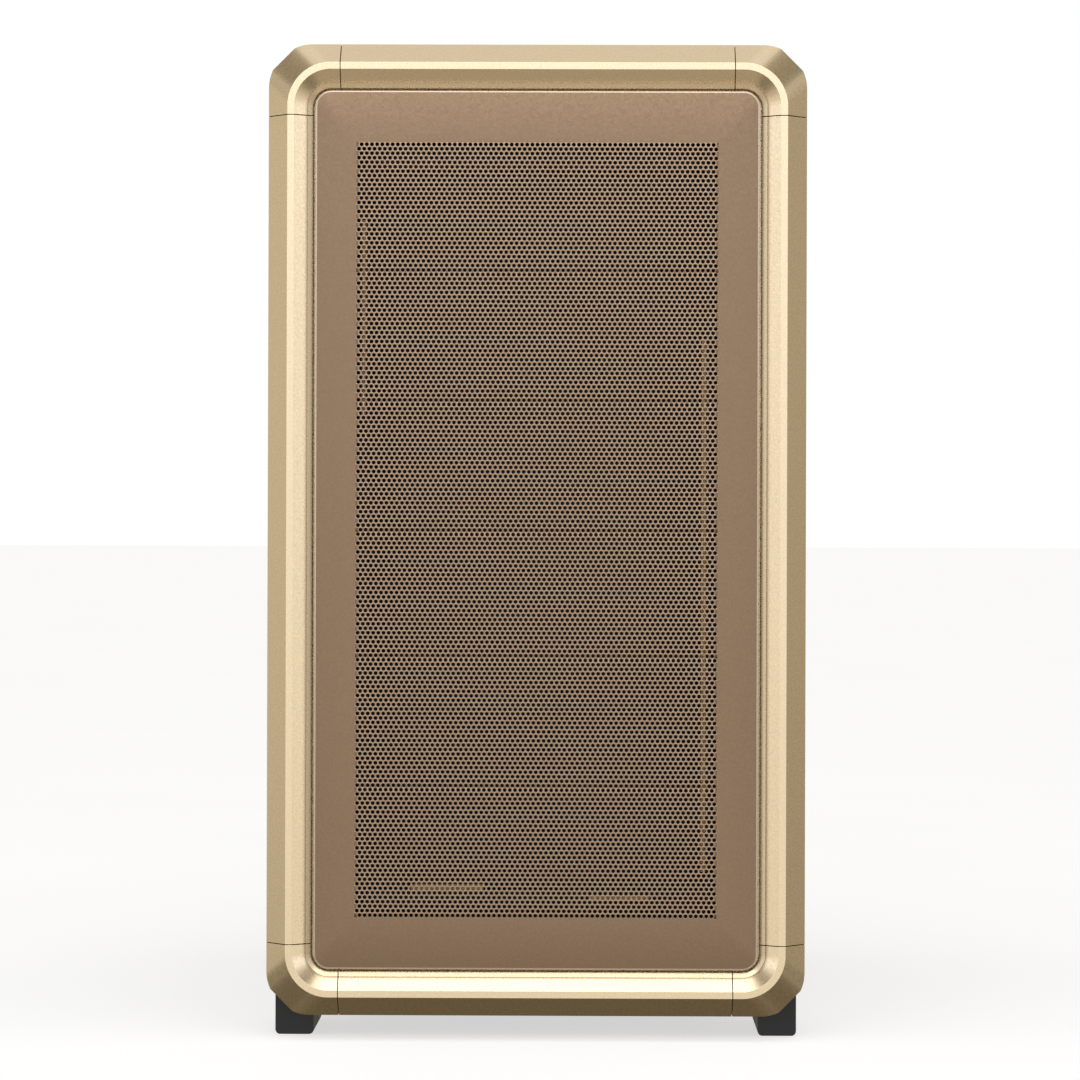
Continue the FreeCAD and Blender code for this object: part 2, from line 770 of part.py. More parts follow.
def side_panel():
    """Steel side cover: a sheet with hems and four studs."""
    y = (inside_front_y + cover_gap, inside_rear_y - cover_gap)
    z = (body_low + rail_edge + cover_gap, body_high - rail_edge - cover_gap)
    inner = body_x - side_rebate
    skin = box((inner, body_x), y, z)
    edges = [edge for edge in skin.Edges if edge.BoundBox.XMin > body_x - 0.01]
    skin = skin.makeFillet(0.9, edges)
    hollow_z = (z[0] + sheet, z[1] - sheet)
    hollow = box((inner - 1, body_x - sheet), (y[0] + sheet, y[1] - sheet), hollow_z)
    pieces = [skin.cut(hollow)]
    for stud_z in side_stud_heights():
        pieces.append(box((inner, body_x - sheet), (y[0] + sheet, y[1] - sheet), around(stud_z, rail_lip - 1)))
        for stud_y in cover_stud_places():
            start = V(inner - stud_reach, stud_y, stud_z)
            pieces.append(rod(start, X_AXIS, stud_diameter / 2, stud_reach))
    save("side_panel", fused(pieces))


def top_panel():
    """Top cover: a shallow tray with four studs."""
    half = body_x - rail_edge - cover_gap
    y = (bezel_back_y + cover_gap, inside_rear_y - cover_gap)
    low = body_high - roof_rebate
    skin = box((-half, half), y, (low, body_high))
    edges = [edge for edge in skin.Edges if edge.BoundBox.ZMin > body_high - 0.01]
    skin = skin.makeFillet(0.9, edges)
    rim = rail_lip - cover_gap
    pieces = [skin.cut(box((rim - half, half - rim), (y[0] + 3, y[1] - 3), (low - 1, body_high - panel_thickness)))]
    stud_x = body_x - rail_edge - rail_lip / 2
    for stud_y in cover_stud_places():
        for x in (-stud_x, stud_x):
            start = V(x, stud_y, low - top_stud_reach)
            pieces.append(rod(start, Z_AXIS, stud_diameter / 2, top_stud_reach))
    save("top_panel", fused(pieces))


# ------------------------------------------------------------------ front controls
def io_bezel():
    """Bezel in front of the top cover with holes for buttons and ports."""
    half = body_x - rail_edge - cover_gap
    y = (inside_front_y, bezel_back_y - cover_gap)
    low = body_high - roof_rebate
    block = box((-half, half), y, (low, body_high))
    edges = [edge for edge in block.Edges if edge.BoundBox.ZMin > body_high - 0.01]
    block = block.makeFillet(0.6, edges)
    z = (low - 1, body_high + 1)
    gap = control_hole_clearance
    length = roof_rebate + 2
    tools = [
        rod(V(power_x, control_y, z[0]), Z_AXIS, power_button_radius + gap, length),
        rod(V(reset_x, control_y, z[0]), Z_AXIS, reset_button_radius + gap, length),
        box(around(usb_c_x, usb_c_outer[0] + gap), around(control_y, usb_c_outer[1] + gap), z),
    ]
    for x in usb_a_x:
        tools.append(box(around(x, usb_a_outer[0] + gap), around(control_y, usb_a_outer[1] + gap), z))
    save("io_bezel", cut(block, tools))


def port_shell(x, outer, inner, tongue):
    """Upright port: a metal shell with a tongue standing on its closed end."""
    z = (control_board_high, body_high - 0.4)
    shell = rounded_box(around(x, outer[0]), around(control_y, outer[1]), z, outer[1] * 0.12, Z_AXIS)
    pocket = box(around(x, inner[0]), around(control_y, inner[1]), (z[1] - 12.0, z[1] + 1))
    blade = box(around(x, inner[0] - 1.2), around(control_y, tongue), (z[1] - 12.0, z[1] - 1.0))
    return shell.cut(pocket).fuse(blade)


def front_io_board():
    """Board under the bezel with its ports, switches and the posts that hang it from the roof."""
    x = (usb_a_x[0] - 20.0, usb_c_x + 18.0)
    board = box(x, around(control_y, control_board_depth), (control_board_low, control_board_high))
    shapes = [board]
    for port_x in usb_a_x:
        shapes.append(port_shell(port_x, usb_a_outer, usb_a_inner, 1.8))
    shapes.append(port_shell(usb_c_x, usb_c_outer, usb_c_inner, 0.7))
    switch_top = body_high - roof_rebate - button_flange - 3.0
    for switch_x in (power_x, reset_x):
        z = (control_board_high, switch_top)
        shapes.append(box(around(switch_x, 6.0), around(control_y, 6.0), z))
    for post_x in (x[0] + 3.5, x[1] - 3.5):
        shapes.append(rod(V(post_x, control_y, control_board_high), Z_AXIS, 2.5, roof_low - control_board_high))
    save("front_io_board", fused(shapes))


def button(radius):
    """Button cap with the flange that keeps it under the bezel."""
    under = body_high - roof_rebate - 0.2
    cap = rod(V(0, 0, under - 0.5), Z_AXIS, radius, body_high + button_proud - under + 0.5)
    rim = [edge for edge in cap.Edges if edge.BoundBox.ZMin > body_high]
    cap = cap.makeFillet(min(0.6, radius / 4), rim)
    flange = rod(V(0, 0, under - button_flange), Z_AXIS, radius + button_flange_width, button_flange)
    return cap.fuse(flange).removeSplitter()


def buttons():
    """Power and reset buttons."""
    for name, x, radius in (("power", power_x, power_button_radius), ("reset", reset_x, reset_button_radius)):
        cap = button(radius)
        cap.translate(V(x, control_y, 0))
        save(name + "_button", cap)


# ------------------------------------------------------------------ fans
def fan_frame(size, hub, spacing):
    """Square fan frame along +Z from z = 0, with struts and a bearing at its outlet side."""
    half = size / 2
    limits = (-half, half)
    bore = half - fan_wall
    front = rounded_box(limits, limits, (0, fan_flange), fan_corner_radius, Z_AXIS)
    back = rounded_box(limits, limits, (fan_depth - fan_flange, fan_depth), fan_corner_radius, Z_AXIS)
    barrel = rod(V(0, 0, 0), Z_AXIS, half - 0.4, fan_depth)
    tools = [rod(V(0, 0, -1), Z_AXIS, bore, fan_depth + 2)]
    for x, y in fan_screw_places(0, 0, spacing):
        tools.append(rod(V(x, y, -1), Z_AXIS, fan_hole_radius, fan_depth + 2))
    body = cut(fused([front, back, barrel]), tools)
    low = fan_depth - fan_strut_depth
    struts = [rod(V(0, 0, low), Z_AXIS, hub, fan_strut_depth)]
    for turn in range(4):
        strut = box((0, bore + 1), around(0, fan_strut_width), (low, fan_depth))
        strut.rotate(V(0, 0, 0), Z_AXIS, 20 + turn * 90)
        struts.append(strut)
    bearing = rod(V(0, 0, low - 1), Z_AXIS, fan_shaft_radius + bearing_clearance, fan_strut_depth)
    return cut(fused([body] + struts), [bearing])


def fan_blade(reach, tip, z, width):
    """One curved blade, from inside the hub to the tip radius."""
    rise = z[1] - z[0]
    low = V(reach, -width / 2, z[0])
    mid = V(reach, width * 0.08, z[0] + rise * 0.42)
    high = V(reach, width / 2, z[1] - blade_thickness)
    lift = V(0, 0, blade_thickness)
    under = Part.Arc(low, mid, high).toShape()
    over = Part.Arc(high + lift, mid + lift, low + lift).toShape()
    sides = [Part.LineSegment(high, high + lift).toShape(), Part.LineSegment(low + lift, low).toShape()]
    face = Part.Face(Part.Wire([under, sides[0], over, sides[1]]))
    blade = face.extrude(V(tip + 5 - reach, 0, 0))
    return blade.common(rod(V(0, 0, z[0] - 1), Z_AXIS, tip, rise + 2))


def fan_rotor(tip, hub, z, blades, shaft_end):
    """Rotor along +Z: hub, curved blades and the shaft that runs in the bearing."""
    core = rod(V(0, 0, z[0]), Z_AXIS, hub, z[1] - z[0])
    rim = [edge for edge in core.Edges if edge.BoundBox.ZMax < z[0] + 0.01]
    pieces = [core.makeFillet(2.0, rim)]
    width = 2 * math.pi * (hub + tip) / 2 / blades * 0.86
    for index in range(blades):
        blade = fan_blade(hub * 0.7, tip, (z[0] + 1, z[1] - 1), width)
        blade.rotate(V(0, 0, 0), Z_AXIS, index * 360 / blades)
        pieces.append(blade)
    pieces.append(rod(V(0, 0, z[1] - 1), Z_AXIS, fan_shaft_radius, shaft_end - z[1] + 1))
    return fused(pieces)


def rotor_for_frame(size, hub, blades):
    """Rotor that fits a square fan frame."""
    tip = size / 2 - fan_wall - fan_tip_gap
    z = (3.0, fan_depth - fan_strut_depth - 0.8)
    return fan_rotor(tip, hub, z, blades, fan_depth - 1.5)


def placed(shape, place, along):
    """Shape built along +Z, moved to a place and turned so that it runs along an axis."""
    copy = shape.copy()
    copy.Placement = FreeCAD.Placement(place, FreeCAD.Rotation(Z_AXIS, along))
    return copy


def case_fans():
    """Two front fans and one rear fan."""
    frame = fan_frame(large_fan_size, large_fan_hub, large_fan_spacing)
    rotor = rotor_for_frame(large_fan_size, large_fan_hub, 7)
    for name, z in (("lower", mid_z - large_fan_z), ("upper", mid_z + large_fan_z)):
        place = V(0, bracket_back, z)
        save("front_fan_frame_" + name, placed(frame, place, Y_AXIS))
        save("front_fan_rotor_" + name, placed(rotor, place, Y_AXIS))
    frame = fan_frame(small_fan_size, small_fan_hub, small_fan_spacing)
    rotor = rotor_for_frame(small_fan_size, small_fan_hub, 9)
    rear = V(rear_fan_x, inside_rear_y - fan_depth, rear_fan_z)
    save("rear_fan_frame", placed(frame, rear, Y_AXIS))
    save("rear_fan_rotor", placed(rotor, rear, Y_AXIS))
    cooler = V(cooler_fan_x, fin_front_y - fan_depth, cpu_z)
    save("cooler_fan_frame", placed(frame, cooler, Y_AXIS))
    save("cooler_fan_rotor", placed(rotor, cooler, Y_AXIS))


# ------------------------------------------------------------------ motherboard
def motherboard():
    """Board with its screw holes."""
    board = box((board_face, board_back), (board_front_y, board_rear_y), (board_low, board_high))
    holes = []
    for y, z in standoff_places():
        holes.append(rod(V(board_face - 1, y, z), X_AXIS, 1.9, board_thickness + 2))
    pieces = [cut(board, holes)]
    save("motherboard", pieces[0])


def card_socket(index):
    """Slot connector for a card, with the groove that takes its edge."""
    z = slot_z(index)
    y = (board_rear_y - 24.0 - socket_length, board_rear_y - 24.0)
    block = box((board_face - socket_height, board_face), y, around(z, socket_width))
    groove = box((board_face - socket_height - 1, board_face - 2.5), (y[0] + 2, y[1] - 2),
                 around(z, card_board_thickness + 0.3))
    return block.cut(groove)


def memory_y(index):
    """Place along Y of a memory slot, counted from the processor's side."""
    return memory_rear_y - index * memory_pitch


def memory_socket(index):
    """Memory slot with its groove and end posts."""
    y = memory_y(index)
    length = memory_length + 8
    block = box((board_face - memory_slot_height, board_face), around(y, memory_pitch - 2.5), around(cpu_z, length))
    groove = box((board_face - memory_slot_height - 1, board_face - 2), around(y, 1.8),
                 around(cpu_z, memory_length + 0.6))
    return block.cut(groove)


def power_socket_z():
    """Height of the main power connector's centre."""
    return main_cable_path[2].z


def board_connectors():
    """Slot connectors, memory slots and power headers on the board."""
    shapes = [card_socket(0), card_socket(3), card_socket(5)]
    for index in range(memory_slots):
        shapes.append(memory_socket(index))
    z = around(power_socket_z(), 52.0)
    shapes.append(box((board_face - 17.0, board_face), (board_front_y, board_front_y + 14.0), z))
    shapes.append(box((board_face - 12.0, board_face), around(board_rear_y - 40.0, 18.0),
                      (board_high - 12.0, board_high - 2.0)))
    for offset in (20.0, 48.0, 76.0):
        y = around(board_front_y + 30.0 + offset, 20.0)
        shapes.append(box((board_face - 8.0, board_face), y, (board_low + 3.0, board_low + 9.0)))
    save("board_connectors", shapes)


def finned_block(x, y, z, groove_count, along):
    """Heatsink block with parallel grooves in its face; along is the axis that the grooves run along."""
    block = box(x, y, z)
    tools = []
    span = z if along == "y" else y
    pitch = (span[1] - span[0]) / (groove_count * 2 + 1)
    depth = (x[0] - 1, x[0] + (x[1] - x[0]) * 0.6)
    for index in range(groove_count):
        start = span[0] + pitch * (2 * index + 1)
        if along == "y":
            tools.append(box(depth, (y[0] - 1, y[1] + 1), (start, start + pitch)))
        else:
            tools.append(box(depth, (start, start + pitch), (z[0] - 1, z[1] + 1)))
    return block.cut(tools)


def board_heatsinks():
    """Heatsinks over the regulators, the drive and the chipset."""
    side_y = (board_rear_y - 54.0, board_rear_y - 30.0)
    side_z = (cpu_z - 42.0, board_high - 20.0)
    top_y = (cpu_y - 50.0, cpu_y + 36.0)
    drive_y = (board_front_y + 24.0, board_front_y + 104.0)
    chipset_y = (board_front_y + 16.0, board_front_y + 66.0)
    shapes = [
        finned_block((board_face - 30.0, board_face), side_y, side_z, 9, "y"),
        finned_block((board_face - 24.0, board_face), top_y, (board_high - 18.0, board_high - 4.0), 3, "y"),
        finned_block((board_face - 9.0, board_face), drive_y, (first_slot_z - 50.0, first_slot_z - 27.0), 5, "z"),
        finned_block((board_face - 11.0, board_face), chipset_y, (board_low + 18.0, board_low + 66.0), 6, "y"),
    ]
    save("board_heatsinks", shapes)


def rear_port_block():
    """Port block behind the rear plate: pairs of USB-A ports, a network port and two display ports."""
    y = (board_rear_y - port_block_depth, rear_plate_back + port_block_proud)
    block = box((port_left, port_right), y, (port_low, port_high))
    middle = (port_left + port_right) / 2
    mouth = (y[1] - 12.0, y[1] + 1)
    tongues = []
    tools = []
    for z in (port_low + 14, port_low + 36, port_low + 58, port_low + 102):
        for x in (middle - 9, middle + 9):
            tools.append(box(around(x, 5.6), mouth, around(z, 13.1)))
            tongues.append(box(around(x - 1.1, 1.8), (mouth[0] - 1, mouth[1] - 2), around(z, 11.4)))
    for x in (middle - 9, middle + 9):
        tools.append(box(around(x, 5.0), mouth, around(port_low + 126, 15.0)))
        tongues.append(box(around(x, 1.4), (mouth[0] - 1, mouth[1] - 2), around(port_low + 126, 11.0)))
    tools.append(box(around(middle, 11.6), mouth, around(port_low + 80, 11.8)))
    save("rear_port_block", fused([block.cut(tools)] + tongues))


def processor():
    """Processor socket and the processor's metal lid."""
    socket = box((board_face - cpu_socket_height, board_face), around(cpu_y, cpu_socket), around(cpu_z, cpu_socket))
    low = board_face - cpu_socket_height - cpu_lid_height
    lid = rounded_box((low, board_face - cpu_socket_height), around(cpu_y, cpu_lid), around(cpu_z, cpu_lid),
                      2.0, X_AXIS)
    save("processor", [socket, lid])


def memory_modules():
    """Two memory modules in the second and fourth slots."""
    shapes = []
    for index in (1, 3):
        y = memory_y(index)
        z = around(cpu_z, memory_length)
        edge = box((board_face - memory_slot_height, board_face - 2.2), around(y, 1.2), z)
        body = box((board_face - 2.2 - memory_height, board_face - memory_slot_height),
                   around(y, memory_thickness), z)
        tools = []
        for side in (-1, 1):
            for groove in range(8):
                place = cpu_z - memory_length / 2 + 16.0 + groove * 14.5
                depth = sorted((y + side * memory_thickness, y + side * (memory_thickness / 2 - 0.8)))
                x = (board_face - memory_height + 2.0, board_face - memory_slot_height - 7.0)
                tools.append(box(x, depth, around(place, 6.0)))
        shapes.append(fused([cut(body, tools), edge]))
    save("memory_modules", shapes)


# ------------------------------------------------------------------ processor cooler
def heat_pipe_places():
    """Places along Y of the heat pipes."""
    first = cpu_y - pipe_pitch * (pipe_count - 1) / 2
    return [first + index * pipe_pitch for index in range(pipe_count)]


def heat_pipe(y):
    """U-shaped pipe: through the base, round two bends and up through the fins on both sides."""
    spread = fin_width / 2 - 16.0
    bend = 12.0
    base_x = board_face - cpu_socket_height - cpu_lid_height - 6.0
    edges = []
    for side in (-1, 1):
        outer = cpu_z + side * spread
        corner = V(base_x, y, outer - side * bend)
        mid = V(base_x - bend * (1 - math.sqrt(0.5)), y, outer - side * bend * (1 - math.sqrt(0.5)))
        end = V(base_x - bend, y, outer)
        tip = V(fin_left + 1.0, y, outer)
        half = [Part.LineSegment(V(base_x, y, cpu_z), corner), Part.Arc(corner, mid, end), Part.LineSegment(end, tip)]
        edges.append([part.toShape() for part in half])
    solids = []
    for half in edges:
        path = Part.Wire(half)
        start = half[0].Vertexes[0].Point
        profile = Part.Wire([Part.makeCircle(pipe_radius, start, half[0].tangentAt(half[0].FirstParameter))])
        solids.append(path.makePipeShell([profile], True, False))
    return solids


def cooler_base():
    """Base block on the processor with its four heat pipes."""
    low = board_face - cpu_socket_height - cpu_lid_height - cooler_base_height
    high = board_face - cpu_socket_height - cpu_lid_height
    block = box((low, high), around(cpu_y, cooler_base_side), around(cpu_z, cooler_base_side))
    pieces = [block]
    for y in heat_pipe_places():
        pieces.extend(heat_pipe(y))
    save("cooler_base", fused(pieces))


def cooler_fins():
    """Fin stack joined by folded tabs at its front and rear edges, with holes for the heat pipes."""
    count = int(fin_stack_length / fin_pitch)
    y = (fin_front_y, fin_rear_y)
    z = around(cpu_z, fin_width)
    pieces = []
    for index in range(count + 1):
        x = fin_left + index * fin_pitch
        pieces.append(box((x, x + fin_thickness), y, z))
    length = (fin_left, fin_left + count * fin_pitch + fin_thickness)
    for tab_z in (cpu_z - fin_width / 2 + 30.0, cpu_z + fin_width / 2 - 30.0):
        for tab_y in (y[0] + 0.5, y[1] - 0.5):
            pieces.append(box(length, around(tab_y, 1.0), around(tab_z, 8.0)))
    stack = pieces[0].multiFuse(pieces[1:])
    tools = []
    for pipe_y in heat_pipe_places():
        for side in (-1, 1):
            start = V(fin_left - 1, pipe_y, cpu_z + side * (fin_width / 2 - 16.0))
            tools.append(rod(start, X_AXIS, pipe_radius, fin_stack_length + 5))
    save("cooler_fins", cut(stack, tools))


# ------------------------------------------------------------------ graphics card
def card_fan_places():
    """Places along Y of the graphics card's fans."""
    return (card_mid_y - card_fan_pitch / 2, card_mid_y + card_fan_pitch / 2)


def display_port_places():
    """Places along X of the graphics card's display ports."""
    return [slot_open_left + 18.0 + index * 21.0 for index in range(4)]


def display_port_heights():
    """Lower and upper limits of the display ports, which hang from the graphics board."""
    return (card_board_low - display_port_height, card_board_low + 0.8)


def display_ports():
    """Metal shells of the display ports, each with its tongue, reaching back into the bracket."""
    low, high = display_port_heights()
    shapes = []
    for x in display_port_places():
        y = (inside_rear_y - display_port_depth, inside_rear_y - card_bracket_thickness)
        width = display_port_width + 1.2
        shell = box(around(x, width), y, (low - 0.6, high))
        pocket = box(around(x, display_port_width), (y[0] + 2, y[1] + 1), (low, high - 1.4))
        tongue = box(around(x, display_port_width - 3), (y[0] + 1, y[1] - 2), around((low + high) / 2 - 0.7, 1.2))
        shapes.append(shell.cut(pocket).fuse(tongue))
    return shapes


def graphics_board():
    """Graphics board with its slot edge, its power socket and its display ports."""
    board = box((card_left, card_right), (card_front_y, card_rear_y), (card_board_low, card_board_high))
    y = (board_rear_y - 24.0 - socket_length + 3, board_rear_y - 27.0)
    edge = box((card_right, board_face - 3.0), y, (card_board_low, card_board_high))
    cable_end = graphics_cable_path[3]
    socket = box((card_left - 5.0, card_left + 8.0), around(cable_end.y, 22.0), (card_board_low - 14.0, card_board_low))
    save("graphics_board", fused([board, edge, socket] + display_ports()))


def graphics_heatsink():
    """Fins under the graphics board on one base plate, open at the power socket."""
    margin = 6.0
    x = (card_left + margin + 3, card_right - margin)
    y = (card_front_y + margin, inside_rear_y - display_port_depth - 1.0)
    plate = box(x, y, (card_board_low - 3.0, card_board_low))
    pieces = [plate]
    pitch = 4.0
    count = int((y[1] - y[0]) / pitch)
    for index in range(count):
        start = y[0] + index * pitch
        pieces.append(box(x, (start, start + 1.0), (card_sink_low, card_board_low - 3.0)))
    save("graphics_heatsink", pieces[0].multiFuse(pieces[1:]))


def graphics_shroud():
    """Moulded cover with two fan openings, each with a bearing on three struts."""
    z = (card_low, card_board_low)
    shell = box((card_left, card_right), (card_front_y, card_rear_y), z)
    edges = [edge for edge in shell.Edges if edge.BoundBox.ZMax < card_low + 0.01]
    shell = shell.makeFillet(4.0, edges)
    hollow = box((card_left + card_wall, card_right - card_wall), (card_front_y + card_wall, card_rear_y - card_wall),
                 (card_low + card_wall, card_board_low + 1))
    socket_gap = box((card_left - 1, card_left + 9.0), around(graphics_cable_path[3].y, 24.0),
                     (card_board_low - 16.0, card_board_low + 1))
    ports = display_port_places()
    port_half = display_port_width / 2 + 1.5
    port_gap = box((ports[0] - port_half, ports[-1] + port_half), (card_rear_y - card_wall - 1, card_rear_y + 1),
                   (display_port_heights()[0] - 1.5, card_board_low + 1))
    tools = [hollow, socket_gap, port_gap]
    bore = card_fan_radius + fan_tip_gap
    strut_low = card_sink_low - fan_strut_depth - 0.6
    pieces = []
    for y in card_fan_places():
        tools.append(rod(V(card_fan_x, y, card_low - 1), Z_AXIS, bore, card_wall + 6))
        post = rod(V(card_fan_x, y, strut_low), Z_AXIS, card_fan_hub, fan_strut_depth)
        ring = rod(V(card_fan_x, y, card_low + card_wall), Z_AXIS, bore + 1.6, strut_low - card_low)
        ring = ring.cut(rod(V(card_fan_x, y, card_low), Z_AXIS, bore, card_cooler_depth))
        group = [post, ring]
        for turn in range(3):
            strut = box((0, bore + 1), around(0, fan_strut_width), (0, fan_strut_depth))
            strut.rotate(V(0, 0, 0), Z_AXIS, 15 + turn * 120)
            strut.translate(V(card_fan_x, y, strut_low))
            group.append(strut)
        bearing = rod(V(card_fan_x, y, strut_low - 1), Z_AXIS, fan_shaft_radius + bearing_clearance, fan_strut_depth)
        pieces.append(fused(group).cut(bearing))
    for rib in range(5):
        x = around(card_left + 12.0 + rib * 3.4, 1.2)
        tools.append(box(x, around(card_mid_y, 26.0), (card_low - 1, card_low + 0.8)))
    save("graphics_shroud", fused([cut(shell, tools)] + pieces))


def graphics_fans():
    """The graphics card's two rotors."""
    strut_low = card_sink_low - fan_strut_depth - 0.6
    depth = strut_low - card_low
    rotor = fan_rotor(card_fan_radius, card_fan_hub, (1.0, depth - 0.8), 9, depth + fan_strut_depth - 1.6)
    for name, y in zip(("front", "rear"), card_fan_places()):
        save("graphics_fan_" + name, placed(rotor, V(card_fan_x, y, card_low), Z_AXIS))


def graphics_bracket():
    """Bracket with display port openings, inside the rear plate."""
    y = (inside_rear_y - card_bracket_thickness, inside_rear_y)
    plate = box((cover_left, board_back), y, (bracket_low, bracket_high))
    tools = [rod(V(slot_screw_x, y[0] - 1, slot_z(index)), Y_AXIS, screw_radius + screw_hole_clearance, 4.0)
             for index in range(card_slots)]
    for x in display_port_places():
        tools.append(box(around(x, display_port_width), (y[0] - 1, y[1] + 1), display_port_heights()))
    for index in range(9):
        x = around(slot_open_left + 10.0 + index * 10.0, 5.0)
        tools.append(box(x, (y[0] - 1, y[1] + 1), around(slot_z(1), 8.0)))
    save("graphics_bracket", cut(plate, tools))


# ------------------------------------------------------------------ power supply
def psu_case():
    """Steel case with the fan's opening below, its spider, the vented rear and the cable exit."""
    y = (psu_front_y, inside_rear_y)
    shell = box((psu_left, psu_right), y, (psu_low, psu_high))
    hollow = box((psu_left + psu_wall, psu_right - psu_wall), (y[0] + psu_wall, y[1] - psu_wall),
                 (psu_low + psu_wall, psu_high - psu_wall))
    tools = [hollow, rod(V(psu_x, psu_fan_y, psu_low - 1), Z_AXIS, psu_fan_radius, psu_wall + 2)]
    rear = (y[1] - psu_wall - 1, y[1] + 1)
    for column in range(12):
        for row in range(6):
            x = around(psu_left + 17.0 + column * 7.0, 5.2)
            tools.append(box(x, rear, around(psu_low + 14.0 + row * 11.6, 9.4)))
    tools.append(box(around(inlet_x, inlet_width + 2.4), rear, around(inlet_z, inlet_height + 2.4)))
    tools.append(box(around(inlet_x, rocker_width + 5), rear, around(rocker_z, rocker_length + 5)))
    front = (y[0] - 1, y[0] + psu_wall + 1)
    exits = ((main_cable_path[0], main_cable_radius), (graphics_cable_path[0], graphics_cable_radius))
    for place, radius in exits:
        tools.append(rod(V(place.x, front[0], place.z), Y_AXIS, radius + 1.5, 4.0))
    for x, z in psu_screw_places():
        tools.append(rod(V(x, rear[0], z), Y_AXIS, screw_radius + screw_hole_clearance, 6.0))
    pieces = [cut(shell, tools)]
    spider_z = (psu_low, psu_low + psu_wall)
    for radius in (28.0, 40.0, 52.0):
        ring = rod(V(psu_x, psu_fan_y, psu_low), Z_AXIS, radius + 0.8, psu_wall)
        pieces.append(ring.cut(rod(V(psu_x, psu_fan_y, psu_low - 1), Z_AXIS, radius - 0.8, 4.0)))
    pieces.append(rod(V(psu_x, psu_fan_y, psu_low), Z_AXIS, 16.0, psu_wall))
    for turn in range(4):
        arm = box((0, psu_fan_radius + 2), around(0, 3.0), (0, psu_wall))
        arm.rotate(V(0, 0, 0), Z_AXIS, 45 + turn * 90)
        arm.translate(V(psu_x, psu_fan_y, spider_z[0]))
        pieces.append(arm)
    bearing_top = psu_low + psu_fan_depth + 5.0
    bridge = box((psu_left + psu_wall, psu_right - psu_wall), around(psu_fan_y, 8.0), (bearing_top - 3, bearing_top))
    hub = rod(V(psu_x, psu_fan_y, bearing_top - 3), Z_AXIS, psu_fan_hub, 3.0)
    hole = rod(V(psu_x, psu_fan_y, bearing_top - 4), Z_AXIS, fan_shaft_radius + bearing_clearance, 3.0)
    pieces.append(bridge.fuse(hub).cut(hole))
    save("psu_case", fused(pieces))


def psu_fan_rotor():
    """Power supply fan rotor, hung from the bridge inside the case."""
    start = psu_low + psu_wall + 1.5
    depth = psu_low + psu_fan_depth + 5.0 - 3.0 - start
    tip = psu_fan_radius - fan_tip_gap
    rotor = fan_rotor(tip, psu_fan_hub, (0.5, depth - 0.8), 9, depth + 1.6)
    save("psu_fan_rotor", placed(rotor, V(psu_x, psu_fan_y, start), Z_AXIS))


def power_inlet():
    """Three-pin mains inlet and the switch's housing."""
    outer_x = inlet_width + 2 * inlet_flange
    y_out = inside_rear_y + inlet_proud
    body = box(around(inlet_x, inlet_width + 2), (y_out - inlet_depth - 2, inside_rear_y),
               around(inlet_z, inlet_height + 2))
    flange = rounded_box(around(inlet_x, outer_x), (inside_rear_y, y_out), around(inlet_z, inlet_height + 6),
                         2.0, Y_AXIS)
    cavity = box(around(inlet_x, inlet_width), (y_out - inlet_depth, y_out + 1), around(inlet_z, inlet_height))
    shape = cut(fused([body, flange]), [cavity])
    pins = []
    for x, z in ((-7.0, -2.0), (0.0, 2.0), (7.0, -2.0)):
        y = (y_out - inlet_depth - 1, y_out - inlet_depth + inlet_pin_length)
        pins.append(box(around(inlet_x + x, 2.0), y, around(inlet_z + z, 4.0)))
    housing = rounded_box(around(inlet_x, rocker_width + 7), (inside_rear_y, inside_rear_y + 1.5),
                          around(rocker_z, rocker_length + 6), 1.5, Y_AXIS)
    well = box(around(inlet_x, rocker_width + 4), (inside_rear_y - 12, inside_rear_y), around(rocker_z, rocker_length + 4))
    well_cut = box(around(inlet_x, rocker_width + 0.8), (inside_rear_y - 10, inside_rear_y + 3),
                   around(rocker_z, rocker_length + 1.4))
    pin_hole = rod(V(inlet_x - rocker_width / 2 - 1.8, rocker_y, rocker_z), X_AXIS,
                   rocker_pin_radius + bearing_clearance, rocker_width + 3.6)
    switch = cut(fused([housing, well]), [well_cut, pin_hole])
    save("power_inlet", [fused([shape] + pins), switch])


def psu_rocker():
    """Rocker on its pin, tilted to its off position."""
    half = rocker_length / 2
    rise = half * math.tan(math.radians(rocker_tilt))
    face_y = rocker_y + 1.6
    points = [
        V(0, rocker_y - 4.5, rocker_z - half + 2), V(0, face_y + rise, rocker_z - half),
        V(0, face_y, rocker_z), V(0, face_y + rise, rocker_z + half), V(0, rocker_y - 4.5, rocker_z + half - 2),
    ]
    face = Part.Face(Part.makePolygon(points + points[:1]))
    body = face.extrude(V(rocker_width, 0, 0))
    body.translate(V(inlet_x - rocker_width / 2, 0, 0))
    pin = rod(V(inlet_x - rocker_width / 2 - 1.4, rocker_y, rocker_z), X_AXIS, rocker_pin_radius, rocker_width + 2.8)
    rocker = body.fuse(pin)
    rocker.rotate(V(inlet_x, rocker_y, rocker_z), X_AXIS, -rocker_tilt)
    save("psu_rocker", rocker)


def psu_filter():
    """Filter tray under the floor: a frame, a fine mesh and a pull tab."""
    x = around(psu_x, filter_width)
    z = (filter_low, filter_high)
    frame = rounded_box(x, (filter_front_y, filter_rear_y), z, 3.0, Z_AXIS)
    inner_x = around(psu_x, filter_width - 2 * filter_frame)
    inner_y = (filter_front_y + filter_frame, inside_rear_y - filter_frame)
    upper = box(inner_x, inner_y, (filter_low + 1.4, filter_high + 1))
    lower = box(inner_x, inner_y, (filter_low - 1, filter_low + 0.9))
    save("psu_filter", cut(frame, [upper, lower]))


